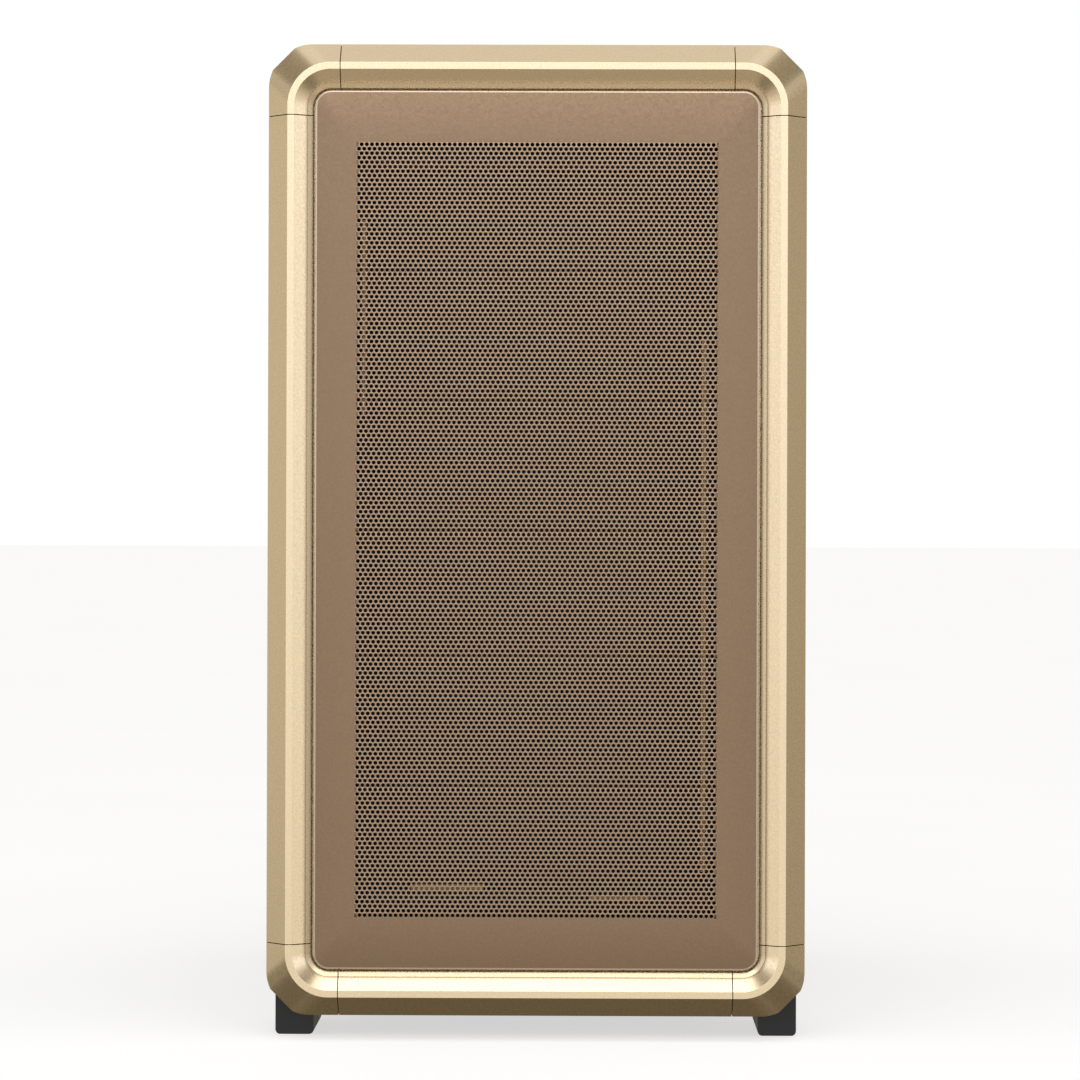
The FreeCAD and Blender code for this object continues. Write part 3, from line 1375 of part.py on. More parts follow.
# ------------------------------------------------------------------ small parts
def slot_covers():
    """Vented covers over the unused card slots."""
    y = (inside_rear_y - slot_cover_thickness, inside_rear_y)
    shapes = []
    for index in range(card_slots, slot_count):
        z = slot_z(index)
        plate = box((cover_left, board_back - 1.5), y, around(z, slot_cover_width))
        tools = [rod(V(slot_screw_x, y[0] - 1, z), Y_AXIS, screw_radius + screw_hole_clearance, 4.0)]
        for vent in range(10):
            x = around(slot_open_left + 9.0 + vent * 9.4, 6.4)
            tools.append(box(x, (y[0] - 1, y[1] + 1), around(z, 6.0)))
        shapes.append(cut(plate, tools))
    save("slot_covers", shapes)


def rear_screw(x, z):
    """Screw through the rear plate with a cross recess in its head."""
    head = rod(V(x, rear_plate_back, z), Y_AXIS, screw_head_radius, screw_head_height)
    rim = [edge for edge in head.Edges if edge.BoundBox.YMin > rear_plate_back + 0.1]
    head = head.makeFillet(0.8, rim)
    shank = rod(V(x, rear_plate_back - screw_length, z), Y_AXIS, screw_radius, screw_length)
    deep = (rear_plate_back + screw_head_height - 1.2, rear_plate_back + screw_head_height + 1)
    recess = [box(around(x, 3.6), deep, around(z, 0.9)), box(around(x, 0.9), deep, around(z, 3.6))]
    return cut(fused([head, shank]), recess)


def rear_screws():
    """Fan, power supply and card slot screws, all alike."""
    save("rear_screws", [rear_screw(x, z) for x, z in rear_screw_places()])


def ssd():
    """Storage drive on the back of the tray."""
    x = (tray_back, tray_back + ssd_thickness)
    z = (board_low + 20.0, board_low + 20.0 + ssd_length)
    save("ssd", rounded_box(x, around(board_front_y + 40.0, ssd_width), z, 3.0, X_AXIS))


def cable(path, radius):
    """Round cable along straight runs joined by tangent arcs; prints its bend radii."""
    edges = []
    start = path[0]
    for index in range(1, len(path) - 1):
        before = path[index - 1] - path[index]
        after = path[index + 1] - path[index]
        turn = math.pi - before.getAngle(after)
        bend = 0.45 * min(before.Length, after.Length) / math.tan(turn / 2)
        reach = bend * math.tan(turn / 2)
        print("cable bend radius", round(bend, 1), "mm for radius", radius)
        before.normalize()
        after.normalize()
        enter = path[index] + before * reach
        leave = path[index] + after * reach
        inward = (before + after).normalize()
        middle = path[index] + inward * (bend / math.cos(turn / 2) - bend)
        edges.append(Part.LineSegment(start, enter).toShape())
        edges.append(Part.Arc(enter, middle, leave).toShape())
        start = leave
    edges.append(Part.LineSegment(start, path[-1]).toShape())
    profile = Part.Wire([Part.makeCircle(radius, path[0], path[1] - path[0])])
    wire = Part.Wire(edges)
    tube = wire.makePipeShell([profile], True, False)
    print("cable volume ratio", round(tube.Volume / (math.pi * radius ** 2 * wire.Length), 4))
    return tube


def cables():
    """Main power cable and graphics power cable, each with the plug at its end."""
    tube = cable(main_cable_path, main_cable_radius)
    end = main_cable_path[3]
    plug = box(around(end.x + 2.0, 11.0), (end.y, board_front_y), around(end.z, 51.0))
    save("main_power_cable", fused([tube, plug]))
    tube = cable(graphics_cable_path, graphics_cable_radius)
    save("graphics_power_cable", tube)


def main():
    """Build and write every node."""
    front_frame()
    front_panel()
    chassis_front_plate()
    fan_bracket()
    corner_rails()
    chassis_floor()
    chassis_roof()
    motherboard_tray()
    chassis_rear_plate()
    rear_frame()
    psu_shroud()
    feet()
    glass_panel()
    glass_panel_rails()
    side_panel()
    top_panel()
    io_bezel()
    front_io_board()
    buttons()
    case_fans()
    motherboard()
    board_connectors()
    board_heatsinks()
    rear_port_block()
    processor()
    memory_modules()
    cooler_base()
    cooler_fins()
    graphics_board()
    graphics_heatsink()
    graphics_shroud()
    graphics_fans()
    graphics_bracket()
    psu_case()
    psu_fan_rotor()
    power_inlet()
    psu_rocker()
    psu_filter()
    slot_covers()
    rear_screws()
    ssd()
    cables()


main()
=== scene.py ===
import math

import bmesh
import bpy
import numpy as np
from mathutils import Matrix, Vector


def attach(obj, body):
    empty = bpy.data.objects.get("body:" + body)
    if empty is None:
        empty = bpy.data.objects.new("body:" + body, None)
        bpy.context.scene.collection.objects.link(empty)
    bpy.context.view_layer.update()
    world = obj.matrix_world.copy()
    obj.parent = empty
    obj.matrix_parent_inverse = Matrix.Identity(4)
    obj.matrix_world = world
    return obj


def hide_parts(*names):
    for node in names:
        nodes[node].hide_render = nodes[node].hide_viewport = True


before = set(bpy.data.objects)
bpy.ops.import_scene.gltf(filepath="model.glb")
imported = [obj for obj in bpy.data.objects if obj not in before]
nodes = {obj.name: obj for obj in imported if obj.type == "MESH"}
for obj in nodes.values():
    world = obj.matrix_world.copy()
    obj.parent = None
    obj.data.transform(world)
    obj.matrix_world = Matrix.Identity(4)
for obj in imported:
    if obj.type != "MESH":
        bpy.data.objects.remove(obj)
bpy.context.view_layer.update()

# ------------------------------------------------------------------ sizes of the replaced pieces, in metres
MM = 0.001
CASE_HALF = 125.0 * MM
CASE_LOW = 11.0 * MM
CASE_HIGH = 462.0 * MM
MID_Z = (CASE_LOW + CASE_HIGH) / 2
FRONT_Y = -225.0 * MM
PLATE_Y = -197.0 * MM
CHAMFER = (9.4 * MM, 11.8 * MM)
FLAT_WIDTH = 3.2 * MM
BEVEL = (6.1 * MM, 5.0 * MM)
LEDGE = (2.4 * MM, 1.0 * MM)
OUTER_RADIUS = 20.5 * MM
RIDGE_RADIUS = 20.0 * MM
CORNER_FLAT = 14.3 * MM
CORNER_SPAN = 33.7 * MM
SEAM = 0.35 * MM
BAND = CHAMFER[0] + FLAT_WIDTH + BEVEL[0] + LEDGE[0]
EDGE_ROUND = 0.1 * MM
ARC_STEPS = 7
SHARP_ANGLE = 35
LIP_Y = (-210.0 * MM, -206.0 * MM)
LIP_REACH = (-0.05 * MM, 1.0 * MM)

PANEL_GAP = 1.2 * MM
PANEL_FACE_Y = -222.0 * MM
PANEL_SHEET = 1.6 * MM
PANEL_RIM = 8.0 * MM
PANEL_ROUND = 0.7 * MM
PANEL_HALF = CASE_HALF - BAND - PANEL_GAP
PANEL_RADIUS = 7.1 * MM
STUD_RADIUS = 3.0 * MM
STUD_REACH = 28.1 * MM
STUD_MARGIN = 11.5 * MM
STUD_SPACING = 150.0 * MM
STUD_HOLE = 3.4 * MM
WINDOW = (79.6 * MM, 169.1 * MM)
LINER = (100.5 * MM, 200.5 * MM)

MESH_PITCH = 2.394 * MM
MESH_HOLE = 0.92 * MM
MESH_COLUMNS = 70
MESH_ROWS = 173
MESH_BANDS = 6
HOLE_SIDES = 8
HOLE_ROUND = 0.08 * MM
SAME_POINT = 1e7

TOP_HALF = 100.15 * MM
TOP_Y = (-172.45 * MM, 203.45 * MM)
TOP_Z = 459.5 * MM
TOP_PITCH = 4.4 * MM
TOP_HOLE = 1.55 * MM
TOP_COLUMNS = 40
TOP_ROWS = 91
TOP_BANDS = 3
TOP_HOLE_SIDES = 12
TOP_ROUND = 0.8 * MM
TOP_RIM = 4.4 * MM
TOP_STUD_RADIUS = 2.0 * MM
TOP_STUD_X = 96.0 * MM
TOP_STUD_MARGIN = 21.65 * MM
TOP_STUD_REACH = 5.7 * MM


# ------------------------------------------------------------------ surface relief and edge mask
BLAST_DEPTH = 0.012 * MM
PEBBLE_DEPTH = 0.03 * MM
BRUSH_DEPTH = 0.01 * MM
EDGE_MASK = (0.995, 0.9)


# ------------------------------------------------------------------ colour
def srgb(red, green, blue):
    """Linear colour of an sRGB triple in 0..255."""
    out = []
    for value in (red, green, blue):
        value /= 255
        out.append(value / 12.92 if value <= 0.04045 else ((value + 0.055) / 1.055) ** 2.4)
    return (*out, 1.0)


def scaled(colour, factor):
    """A colour made lighter or darker."""
    return (*(min(1.0, channel * factor) for channel in colour[:3]), 1.0)


# ------------------------------------------------------------------ material helper
class Recipe:
    """Node tree of one material with its shader at hand."""

    def __init__(self, name):
        self.material = bpy.data.materials.new(name)
        self.material.use_nodes = True
        self.tree = self.material.node_tree
        self.shader = self.tree.nodes["Principled BSDF"]
        self.place = self.add("ShaderNodeTexCoord").outputs["Object"]

    def add(self, kind, **values):
        node = self.tree.nodes.new(kind)
        for key, value in values.items():
            setattr(node, key, value)
        return node

    def link(self, source, socket):
        self.tree.links.new(source, socket)

    def set(self, **values):
        for key, value in values.items():
            self.shader.inputs[key.replace("_", " ")].default_value = value

    def stretched(self, scale):
        """Object coordinates with a scale on each axis."""
        mapping = self.add("ShaderNodeMapping")
        mapping.inputs["Scale"].default_value = scale
        self.link(self.place, mapping.inputs["Vector"])
        return mapping.outputs["Vector"]

    def noise(self, scale, detail=2.0, roughness=0.5, vector=None):
        node = self.add("ShaderNodeTexNoise")
        node.inputs["Scale"].default_value = scale
        node.inputs["Detail"].default_value = detail
        node.inputs["Roughness"].default_value = roughness
        self.link(vector or self.place, node.inputs["Vector"])
        return node.outputs["Fac"]

    def cells(self, scale, feature="F1"):
        """Distances in a pattern of irregular cells."""
        node = self.add("ShaderNodeTexVoronoi", feature=feature)
        node.inputs["Scale"].default_value = scale
        self.link(self.place, node.inputs["Vector"])
        return node.outputs["Distance"]

    def remap(self, source, low, high, to_low=0.0, to_high=1.0):
        node = self.add("ShaderNodeMapRange")
        values = {"From Min": low, "From Max": high, "To Min": to_low, "To Max": to_high}
        for key, value in values.items():
            node.inputs[key].default_value = value
        self.link(source, node.inputs["Value"])
        return node.outputs["Result"]

    def maths(self, operation, first, second):
        node = self.add("ShaderNodeMath", operation=operation)
        for socket, value in zip(node.inputs, (first, second)):
            if isinstance(value, (int, float)):
                socket.default_value = value
            else:
                self.link(value, socket)
        return node.outputs[0]

    def mixed(self, factor, first, second):
        """Colour mix; each colour is a tuple or a socket."""
        node = self.add("ShaderNodeMix", data_type="RGBA")
        self.link(factor, node.inputs[0])
        for socket, value in ((node.inputs[6], first), (node.inputs[7], second)):
            if isinstance(value, tuple):
                socket.default_value = value
            else:
                self.link(value, socket)
        return node.outputs[2]

    def bumped(self, height, strength, distance):
        node = self.add("ShaderNodeBump")
        node.inputs["Strength"].default_value = strength
        node.inputs["Distance"].default_value = distance
        self.link(height, node.inputs["Height"])
        return node.outputs["Normal"]

    def edges(self, radius):
        """Mask of the convex and concave edges, 0 on flat faces and 1 on an edge."""
        bevel = self.add("ShaderNodeBevel", samples=4)
        bevel.inputs["Radius"].default_value = radius
        geometry = self.add("ShaderNodeNewGeometry")
        dot = self.add("ShaderNodeVectorMath", operation="DOT_PRODUCT")
        self.link(bevel.outputs["Normal"], dot.inputs[0])
        self.link(geometry.outputs["Normal"], dot.inputs[1])
        return self.remap(dot.outputs["Value"], *EDGE_MASK)

    def finish(self, colour, rough, normal=None):
        """Links the maps to the shader and gives the material back."""
        for source, name in ((colour, "Base Color"), (rough, "Roughness"), (normal, "Normal")):
            if source is not None:
                self.link(source, self.shader.inputs[name])
        return self.material


# ------------------------------------------------------------------ materials
def blasted_metal(name, tone, rough, grain=2600.0, edge_wear_and_highlight=1.25):
    """Bead-blasted and anodised or painted metal: fine speckle, faint clouds, and edges made lighter for wear
    and for a painted highlight.
    """
    r = Recipe(name)
    r.set(Metallic=1.0)
    clouds = r.noise(9.0, 3.0)
    speck = r.noise(grain, 1.0)
    base = r.mixed(r.remap(clouds, 0.35, 0.65), scaled(tone, 0.96), scaled(tone, 1.02))
    fleck = r.remap(r.noise(grain * 0.45, 2.0, 0.8), 0.36, 0.64)
    base = r.mixed(fleck, scaled(tone, 0.95), r.mixed(fleck, base, scaled(tone, 1.04)))
    # Painted highlight and wear: the colour grows lighter along the edges through the bevel mask.
    base = r.mixed(r.maths("MULTIPLY", r.edges(0.6 * MM), 0.5), base, scaled(tone, edge_wear_and_highlight))
    rough_map = r.remap(r.noise(grain * 0.35, 2.0), 0.3, 0.7, rough - 0.05, rough + 0.05)
    return r.finish(base, rough_map, r.bumped(speck, 0.22, BLAST_DEPTH))


def painted_sheet(name, tone, rough):
    """Powder-coated steel: orange-peel pebbles, a little dust and edges made lighter through the bevel mask.
    """
    r = Recipe(name)
    r.set(Metallic=0.0)
    pebbles = r.noise(900.0, 2.0)
    dust = r.noise(14.0, 4.0)
    base = r.mixed(r.remap(dust, 0.4, 0.75), tone, scaled(tone, 1.35))
    base = r.mixed(r.maths("MULTIPLY", r.edges(0.8 * MM), 0.6), base, scaled(tone, 2.4))
    rough_map = r.remap(r.noise(60.0, 3.0), 0.3, 0.7, rough - 0.07, rough + 0.07)
    return r.finish(base, rough_map, r.bumped(pebbles, 0.4, PEBBLE_DEPTH))


def moulded_plastic(name, tone, rough, grain=1500.0, depth=0.04 * MM):
    """Textured moulded plastic with a fine spark-eroded grain."""
    r = Recipe(name)
    grains = r.cells(grain)
    clouds = r.noise(25.0, 3.0)
    base = r.mixed(r.remap(clouds, 0.3, 0.7), scaled(tone, 0.85), scaled(tone, 1.2))
    base = r.mixed(r.maths("MULTIPLY", r.edges(0.5 * MM), 0.5), base, scaled(tone, 2.0))
    rough_map = r.remap(clouds, 0.3, 0.7, rough - 0.06, rough + 0.06)
    return r.finish(base, rough_map, r.bumped(grains, 0.3, depth))


def brushed_metal(name, tone, rough, along=(1.0, 1.0, 60.0), oxide=None):
    """Bare metal with fine brush lines along one axis and faint staining."""
    r = Recipe(name)
    r.set(Metallic=1.0)
    lines = r.noise(45.0, 3.0, 0.6, r.stretched(along))
    stain = r.noise(30.0, 3.0)
    base = r.mixed(r.remap(lines, 0.3, 0.7), scaled(tone, 0.88), scaled(tone, 1.08))
    base = r.mixed(r.remap(stain, 0.5, 0.8, 0.0, 0.45), base, oxide or scaled(tone, 0.7))
    rough_map = r.remap(lines, 0.3, 0.7, rough - 0.06, rough + 0.08)
    return r.finish(base, rough_map, r.bumped(lines, 0.3, BRUSH_DEPTH))


def rubber(name):
    """Foot: satin black rubber with mould grain and scuffs."""
    r = Recipe(name)
    grain = r.noise(1400.0, 2.0)
    scuffs = r.noise(70.0, 5.0, 0.7, r.stretched((1.0, 1.0, 0.3)))
    base = r.mixed(r.remap(scuffs, 0.45, 0.8), srgb(8, 8, 9), srgb(24, 24, 24))
    base = r.mixed(r.maths("MULTIPLY", r.edges(0.8 * MM), 0.5), base, srgb(52, 52, 52))
    rough_map = r.remap(scuffs, 0.3, 0.7, 0.34, 0.5)
    return r.finish(base, rough_map, r.bumped(grain, 0.3, 0.04 * MM))


def circuit_board(name):
    """Black solder mask with raised traces, vias and pads."""
    r = Recipe(name)
    r.set(Coat_Weight=0.3, Coat_Roughness=0.15)
    blocks = r.add("ShaderNodeTexBrick")
    blocks.inputs["Scale"].default_value = 95.0
    blocks.inputs["Mortar Size"].default_value = 0.03
    blocks.inputs["Mortar Smooth"].default_value = 0.1
    turned = r.add("ShaderNodeMapping")
    turned.inputs["Rotation"].default_value = (math.pi / 2, 0, math.pi / 2)
    r.link(r.place, turned.inputs["Vector"])
    r.link(turned.outputs["Vector"], blocks.inputs["Vector"])
    traces = blocks.outputs["Fac"]
    vias = r.remap(r.cells(260.0), 0.10, 0.06)
    routing = r.remap(r.cells(55.0, "DISTANCE_TO_EDGE"), 0.03, 0.015)
    raised = r.maths("MAXIMUM", traces, routing)
    base = r.mixed(raised, srgb(16, 18, 19), srgb(33, 38, 38))
    base = r.mixed(r.maths("MULTIPLY", vias, 0.8), base, srgb(150, 140, 105))
    rough_map = r.remap(r.noise(40.0), 0.3, 0.7, 0.38, 0.52)
    return r.finish(base, rough_map, r.bumped(raised, 0.4, 0.04 * MM))


def tinted_glass(name):
    """Grey tempered glass with a very faint roller wave."""
    r = Recipe(name)
    r.set(Transmission_Weight=1.0, IOR=1.5)
    waves = r.noise(5.0, 1.0)
    base = r.mixed(r.remap(waves, 0.3, 0.7), srgb(196, 199, 200), srgb(204, 206, 207))
    rough_map = r.remap(r.noise(18.0, 3.0), 0.4, 0.8, 0.0, 0.01)
    return r.finish(base, rough_map, r.bumped(waves, 0.1, 0.03 * MM))


def braided_sleeve(name):
    """Cable sleeve: crossed strands of black thread."""
    r = Recipe(name)
    r.set(Sheen_Weight=0.3)
    strands = []
    for turn in (0.9, -0.9):
        wave = r.add("ShaderNodeTexWave", bands_direction="DIAGONAL")
        wave.inputs["Scale"].default_value = 420.0
        mapping = r.add("ShaderNodeMapping")
        mapping.inputs["Rotation"].default_value = (turn, turn, 0.0)
        r.link(r.place, mapping.inputs["Vector"])
        r.link(mapping.outputs["Vector"], wave.inputs["Vector"])
        strands.append(wave.outputs["Fac"])
    weave = r.maths("MAXIMUM", *strands)
    base = r.mixed(weave, srgb(12, 12, 13), srgb(48, 47, 46))
    rough_map = r.remap(weave, 0.0, 1.0, 0.75, 0.5)
    return r.finish(base, rough_map, r.bumped(weave, 0.6, 0.2 * MM))


def fine_mesh(name, tilt=0.0):
    """Black frame of the dust filter, with the fine weave of its net."""
    r = Recipe(name)
    net = r.add("ShaderNodeTexBrick", offset=0.0)
    turned_net = r.add("ShaderNodeMapping")
    turned_net.inputs["Rotation"].default_value = (tilt, 0.0, 0.0)
    r.link(r.place, turned_net.inputs["Vector"])
    net.inputs["Scale"].default_value = 900.0
    net.inputs["Brick Width"].default_value = 1.0
    net.inputs["Row Height"].default_value = 1.0
    net.inputs["Mortar Size"].default_value = 0.12
    r.link(turned_net.outputs["Vector"], net.inputs["Vector"])
    base = r.mixed(net.outputs["Fac"], srgb(4, 4, 4), srgb(22, 22, 23))
    rough_map = r.remap(net.outputs["Fac"], 0.0, 1.0, 0.7, 0.45)
    return r.finish(base, rough_map, r.bumped(net.outputs["Fac"], 0.5, 0.1 * MM))


MATERIALS = {
    "frame_metal": blasted_metal("anodised_frame", srgb(243, 221, 184), 0.29),
    "bronze_sheet": blasted_metal("bronze_sheet", srgb(150, 125, 101), 0.44, 2400.0, edge_wear_and_highlight=1.3),
    "gold_paint": blasted_metal("gold_paint", srgb(198, 162, 118), 0.45, 1600.0),
    "black_sheet": painted_sheet("black_powder_coat", srgb(22, 22, 23), 0.5),
    "foot_rubber": rubber("foot_rubber"),
    "tinted_glass": tinted_glass("tinted_glass"),
    "port_steel": brushed_metal("port_steel", srgb(196, 197, 198), 0.3),
    "button_metal": blasted_metal("button_metal", srgb(206, 184, 150), 0.3),
    "black_plastic": moulded_plastic("black_plastic", srgb(25, 25, 26), 0.48),
    "rotor_plastic": moulded_plastic("rotor_plastic", srgb(31, 31, 33), 0.38, 700.0, 0.01 * MM),
    "circuit_board": circuit_board("solder_mask"),
    "connector_plastic": moulded_plastic("connector_plastic", srgb(34, 34, 35), 0.42, 2000.0, 0.02 * MM),
    "dark_heatsink": blasted_metal("dark_heatsink", srgb(84, 83, 84), 0.38),
    "processor_nickel": brushed_metal("processor_nickel", srgb(188, 186, 181), 0.24),
    "copper_nickel": brushed_metal("copper_nickel", srgb(190, 176, 160), 0.2, oxide=srgb(176, 130, 96)),
    "fin_aluminium": brushed_metal("fin_aluminium", srgb(200, 202, 205), 0.34, (60.0, 1.0, 1.0)),
    "screw_steel": brushed_metal("screw_steel", srgb(168, 169, 171), 0.28),
    "drive_metal": brushed_metal("drive_metal", srgb(120, 122, 126), 0.34, (1.0, 60.0, 1.0)),
    "cable_sleeve": braided_sleeve("cable_sleeve"),
}
FILTER_NET = fine_mesh("filter_net")
# Painted highlight: lighter bronze on the sheet round the front of each hole and on its rounding, for light
# caught by the hole edges.
HOLE_HIGHLIGHT = blasted_metal("bronze_web_highlight", srgb(176, 150, 125), 0.4, 2400.0)
# Painted highlight: pale bronze on the rounded outer fold of the panel rims, for light caught along that
# edge.
PANEL_EDGE_HIGHLIGHT = blasted_metal("bronze_edge_highlight", srgb(222, 205, 190), 0.34, 2400.0)
FRONT_NET = fine_mesh("front_net_weave", math.pi / 2)


def node_slot(name):
    """Material slot of a CAD node, by what its name says it is."""
    for words, slot in (
        (("front_rail", "front_corner", "rear_frame", "corner_rails"), "frame_metal"),
        (("front_panel", "top_panel", "side_panel", "io_bezel"), "bronze_sheet"),
        (("chassis_front_plate",), "gold_paint"),
        (("fan_rotor", "graphics_fan"), "rotor_plastic"),
        (("fan_frame", "graphics_shroud", "psu_filter"), "black_plastic"),
        (("button",), "button_metal"),
        (("front_io_board", "rear_port_block", "graphics_bracket"), "port_steel"),
        (("board_connectors", "power_inlet", "psu_rocker"), "connector_plastic"),
        (("board_heatsinks", "memory_modules"), "dark_heatsink"),
        (("cooler_fins", "graphics_heatsink"), "fin_aluminium"),
        (("cooler_base",), "copper_nickel"),
        (("processor",), "processor_nickel"),
        (("motherboard_tray",), "black_sheet"),
        (("motherboard", "graphics_board"), "circuit_board"),
        (("feet",), "foot_rubber"),
        (("glass_panel_rails",), "black_sheet"),
        (("glass_panel",), "tinted_glass"),
        (("screws",), "screw_steel"),
        (("ssd",), "drive_metal"),
        (("cable",), "cable_sleeve"),
    ):
        if any(word in name for word in words):
            return slot
    return "black_sheet"


def dress_cad_nodes():
    """Gives each carried-over CAD node its procedural material."""
    for name, obj in nodes.items():
        slot = node_slot(name)
        obj.data.materials.clear()
        obj.data.materials.append(FILTER_NET if name == "psu_filter" else MATERIALS[slot])


# ------------------------------------------------------------------ mesh helpers
def piece(name, vertices, faces, slot, body, replaced=()):
    """Makes a mesh piece that rides on a body."""
    mesh = bpy.data.meshes.new(name)
    mesh.from_pydata(vertices, [], faces)
    mesh.validate()
    obj = bpy.data.objects.new(name, mesh)
    bpy.context.scene.collection.objects.link(obj)
    mesh.materials.append(MATERIALS[slot])
    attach(obj, body)
    if replaced:
        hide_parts(*replaced)
    return obj


def tidy_mesh(obj, distance=1e-6):
    """Merges doubled points and turns the faces outwards."""
    mesh = bmesh.new()
    mesh.from_mesh(obj.data)
    bmesh.ops.remove_doubles(mesh, verts=mesh.verts, dist=distance)
    bmesh.ops.recalc_face_normals(mesh, faces=mesh.faces)
    mesh.to_mesh(obj.data)
    mesh.free()


def round_edges(obj, width, angle=12.0, segments=2):
    """Small rounding along the sharp edges."""
    bevel = obj.modifiers.new("rounding", "BEVEL")
    bevel.width = width
    bevel.segments = segments
    bevel.limit_method = "ANGLE"
    bevel.angle_limit = math.radians(angle)
    bevel.harden_normals = True
    for face in obj.data.polygons:
        face.use_smooth = True


# ------------------------------------------------------------------ front frame
def corner_points(radius, inset, flats, signs):
    """Outline points round one corner, counter-clockwise seen from the front, in three stretches."""
    sx, sz = signs
    cx = sx * (CASE_HALF - inset - radius)
    cz = (CASE_HIGH - inset - radius) if sz > 0 else (CASE_LOW + inset + radius)
    start = {(1, 1): 0.0, (-1, 1): 0.5, (-1, -1): 1.0, (1, -1): 1.5}[signs] * math.pi
    half = math.asin(CORNER_FLAT / 2 / OUTER_RADIUS)
    stops = (start, start + math.pi / 4 - half, start + math.pi / 4 + half, start + math.pi / 2)
    points = []
    for stretch in range(3):
        for step in range(ARC_STEPS):
            share = step / ARC_STEPS
            angle = stops[stretch] + share * (stops[stretch + 1] - stops[stretch])
            x, z = math.cos(angle), math.sin(angle)
            if stretch == 1 and flats:
                ends = [(math.cos(a), math.sin(a)) for a in stops[1:3]]
                x, z = (ends[0][i] * (1 - share) + ends[1][i] * share for i in (0, 1))
            points.append((cx + radius * x, cz + radius * z))
    points.append((cx + radius * math.cos(stops[3]), cz + radius * math.sin(stops[3])))
    return points


def frame_profile():
    """Section of the front frame: (inset, y, radius, flat corners)."""
    ridge = CHAMFER[0] + FLAT_WIDTH
    bevel_radius = RIDGE_RADIUS - FLAT_WIDTH
    ledge_radius = bevel_radius - BEVEL[0]
    inner_radius = ledge_radius - LEDGE[0]
    bevel_y = FRONT_Y + BEVEL[1]
    return (
        (0.0, PLATE_Y, OUTER_RADIUS, True),
        (0.0, FRONT_Y + CHAMFER[1], OUTER_RADIUS, True),
        (CHAMFER[0], FRONT_Y, RIDGE_RADIUS, False),
        (ridge, FRONT_Y, bevel_radius, False),
        (ridge + BEVEL[0], bevel_y, ledge_radius, False),
        (BAND, bevel_y + LEDGE[1], inner_radius, False),
        (BAND, PLATE_Y, inner_radius, False),
    )


def swept(columns):
    """Closed solid over columns of section points, with a cap at each end."""
    size = len(columns[0])
    vertices = [point for column in columns for point in column]
    faces = []
    for index in range(len(columns) - 1):
        for step in range(size):
            a = index * size + step
            b = index * size + (step + 1) % size
            faces.append((a, b, b + size, a + size))
    faces.append(tuple(range(size - 1, -1, -1)))
    faces.append(tuple(range((len(columns) - 1) * size, len(columns) * size)))
    return vertices, faces


def frame_piece(name, columns, node):
    """One rail or corner casting in place of its CAD node."""
    obj = piece(name, *swept(columns), "frame_metal", "chassis", (node,))
    tidy_mesh(obj)
    round_edges(obj, EDGE_ROUND)


def front_frame():
    """Four rails and four corner castings, each with its edges softly rounded."""
    profile = frame_profile()
    edge_x = CASE_HALF - CORNER_SPAN
    low = CASE_LOW + CORNER_SPAN
    high = CASE_HIGH - CORNER_SPAN
    gap = SEAM / 2
    for side, sx in (("left", -1), ("right", 1)):
        ends = (low + gap, high - gap)
        columns = [[(sx * (CASE_HALF - inset), y, z) for inset, y, _, _ in profile] for z in ends]
        frame_piece("rail_" + side, columns, "front_rail_" + side)
    for side, edge, sz in (("top", CASE_HIGH, 1), ("bottom", CASE_LOW, -1)):
        ends = (gap - edge_x, edge_x - gap)
        columns = [[(x, y, edge - sz * inset) for inset, y, _, _ in profile] for x in ends]
        frame_piece("rail_" + side, columns, "front_rail_" + side)
    for height, sz in (("top", 1), ("bottom", -1)):
        edge, seam_z = (CASE_HIGH, high + gap) if sz > 0 else (CASE_LOW, low - gap)
        for side, sx in (("left", -1), ("right", 1)):
            rings = [corner_points(radius, inset, flats, (sx, sz)) for inset, _, radius, flats in profile]
            columns = [[(x, section[1], z) for section, (x, z) in zip(profile, step)] for step in zip(*rings)]
            upright = [(sx * (CASE_HALF - inset), y, seam_z) for inset, y, _, _ in profile]
            level = [(sx * (edge_x + gap), y, edge - sz * inset) for inset, y, _, _ in profile]
            first, last = (upright, level) if sx * sz > 0 else (level, upright)
            name = f"corner_{height}_{side}"
            frame_piece(name, [first, *columns, last], "front_" + name)


def frame_lip():
    """Narrow gold lip inside the frame, seen in the gap round the front panel."""
    outer, inner = (BAND + reach for reach in LIP_REACH)
    radius = RIDGE_RADIUS - FLAT_WIDTH - BEVEL[0] - LEDGE[0]
    section = [(outer, LIP_Y[0]), (inner, LIP_Y[0]), (inner, LIP_Y[1]), (outer, LIP_Y[1])]
    columns = []
    for signs in ((1, 1), (-1, 1), (-1, -1), (1, -1)):
        rings = [corner_points(radius - (i - BAND), i, False, signs) for i, _ in section]
        columns += [[(x, y, z) for (_, y), (x, z) in zip(section, step)] for step in zip(*rings)]
    size = len(section)
    vertices = [point for column in columns for point in column]
    faces = []
    for index in range(len(columns)):
        follow = (index + 1) % len(columns)
        for step in range(size):
            n = (step + 1) % size
            faces.append((index * size + step, index * size + n, follow * size + n, follow * size + step))
    tidy_mesh(piece("frame_lip", vertices, faces, "frame_metal", "chassis"))


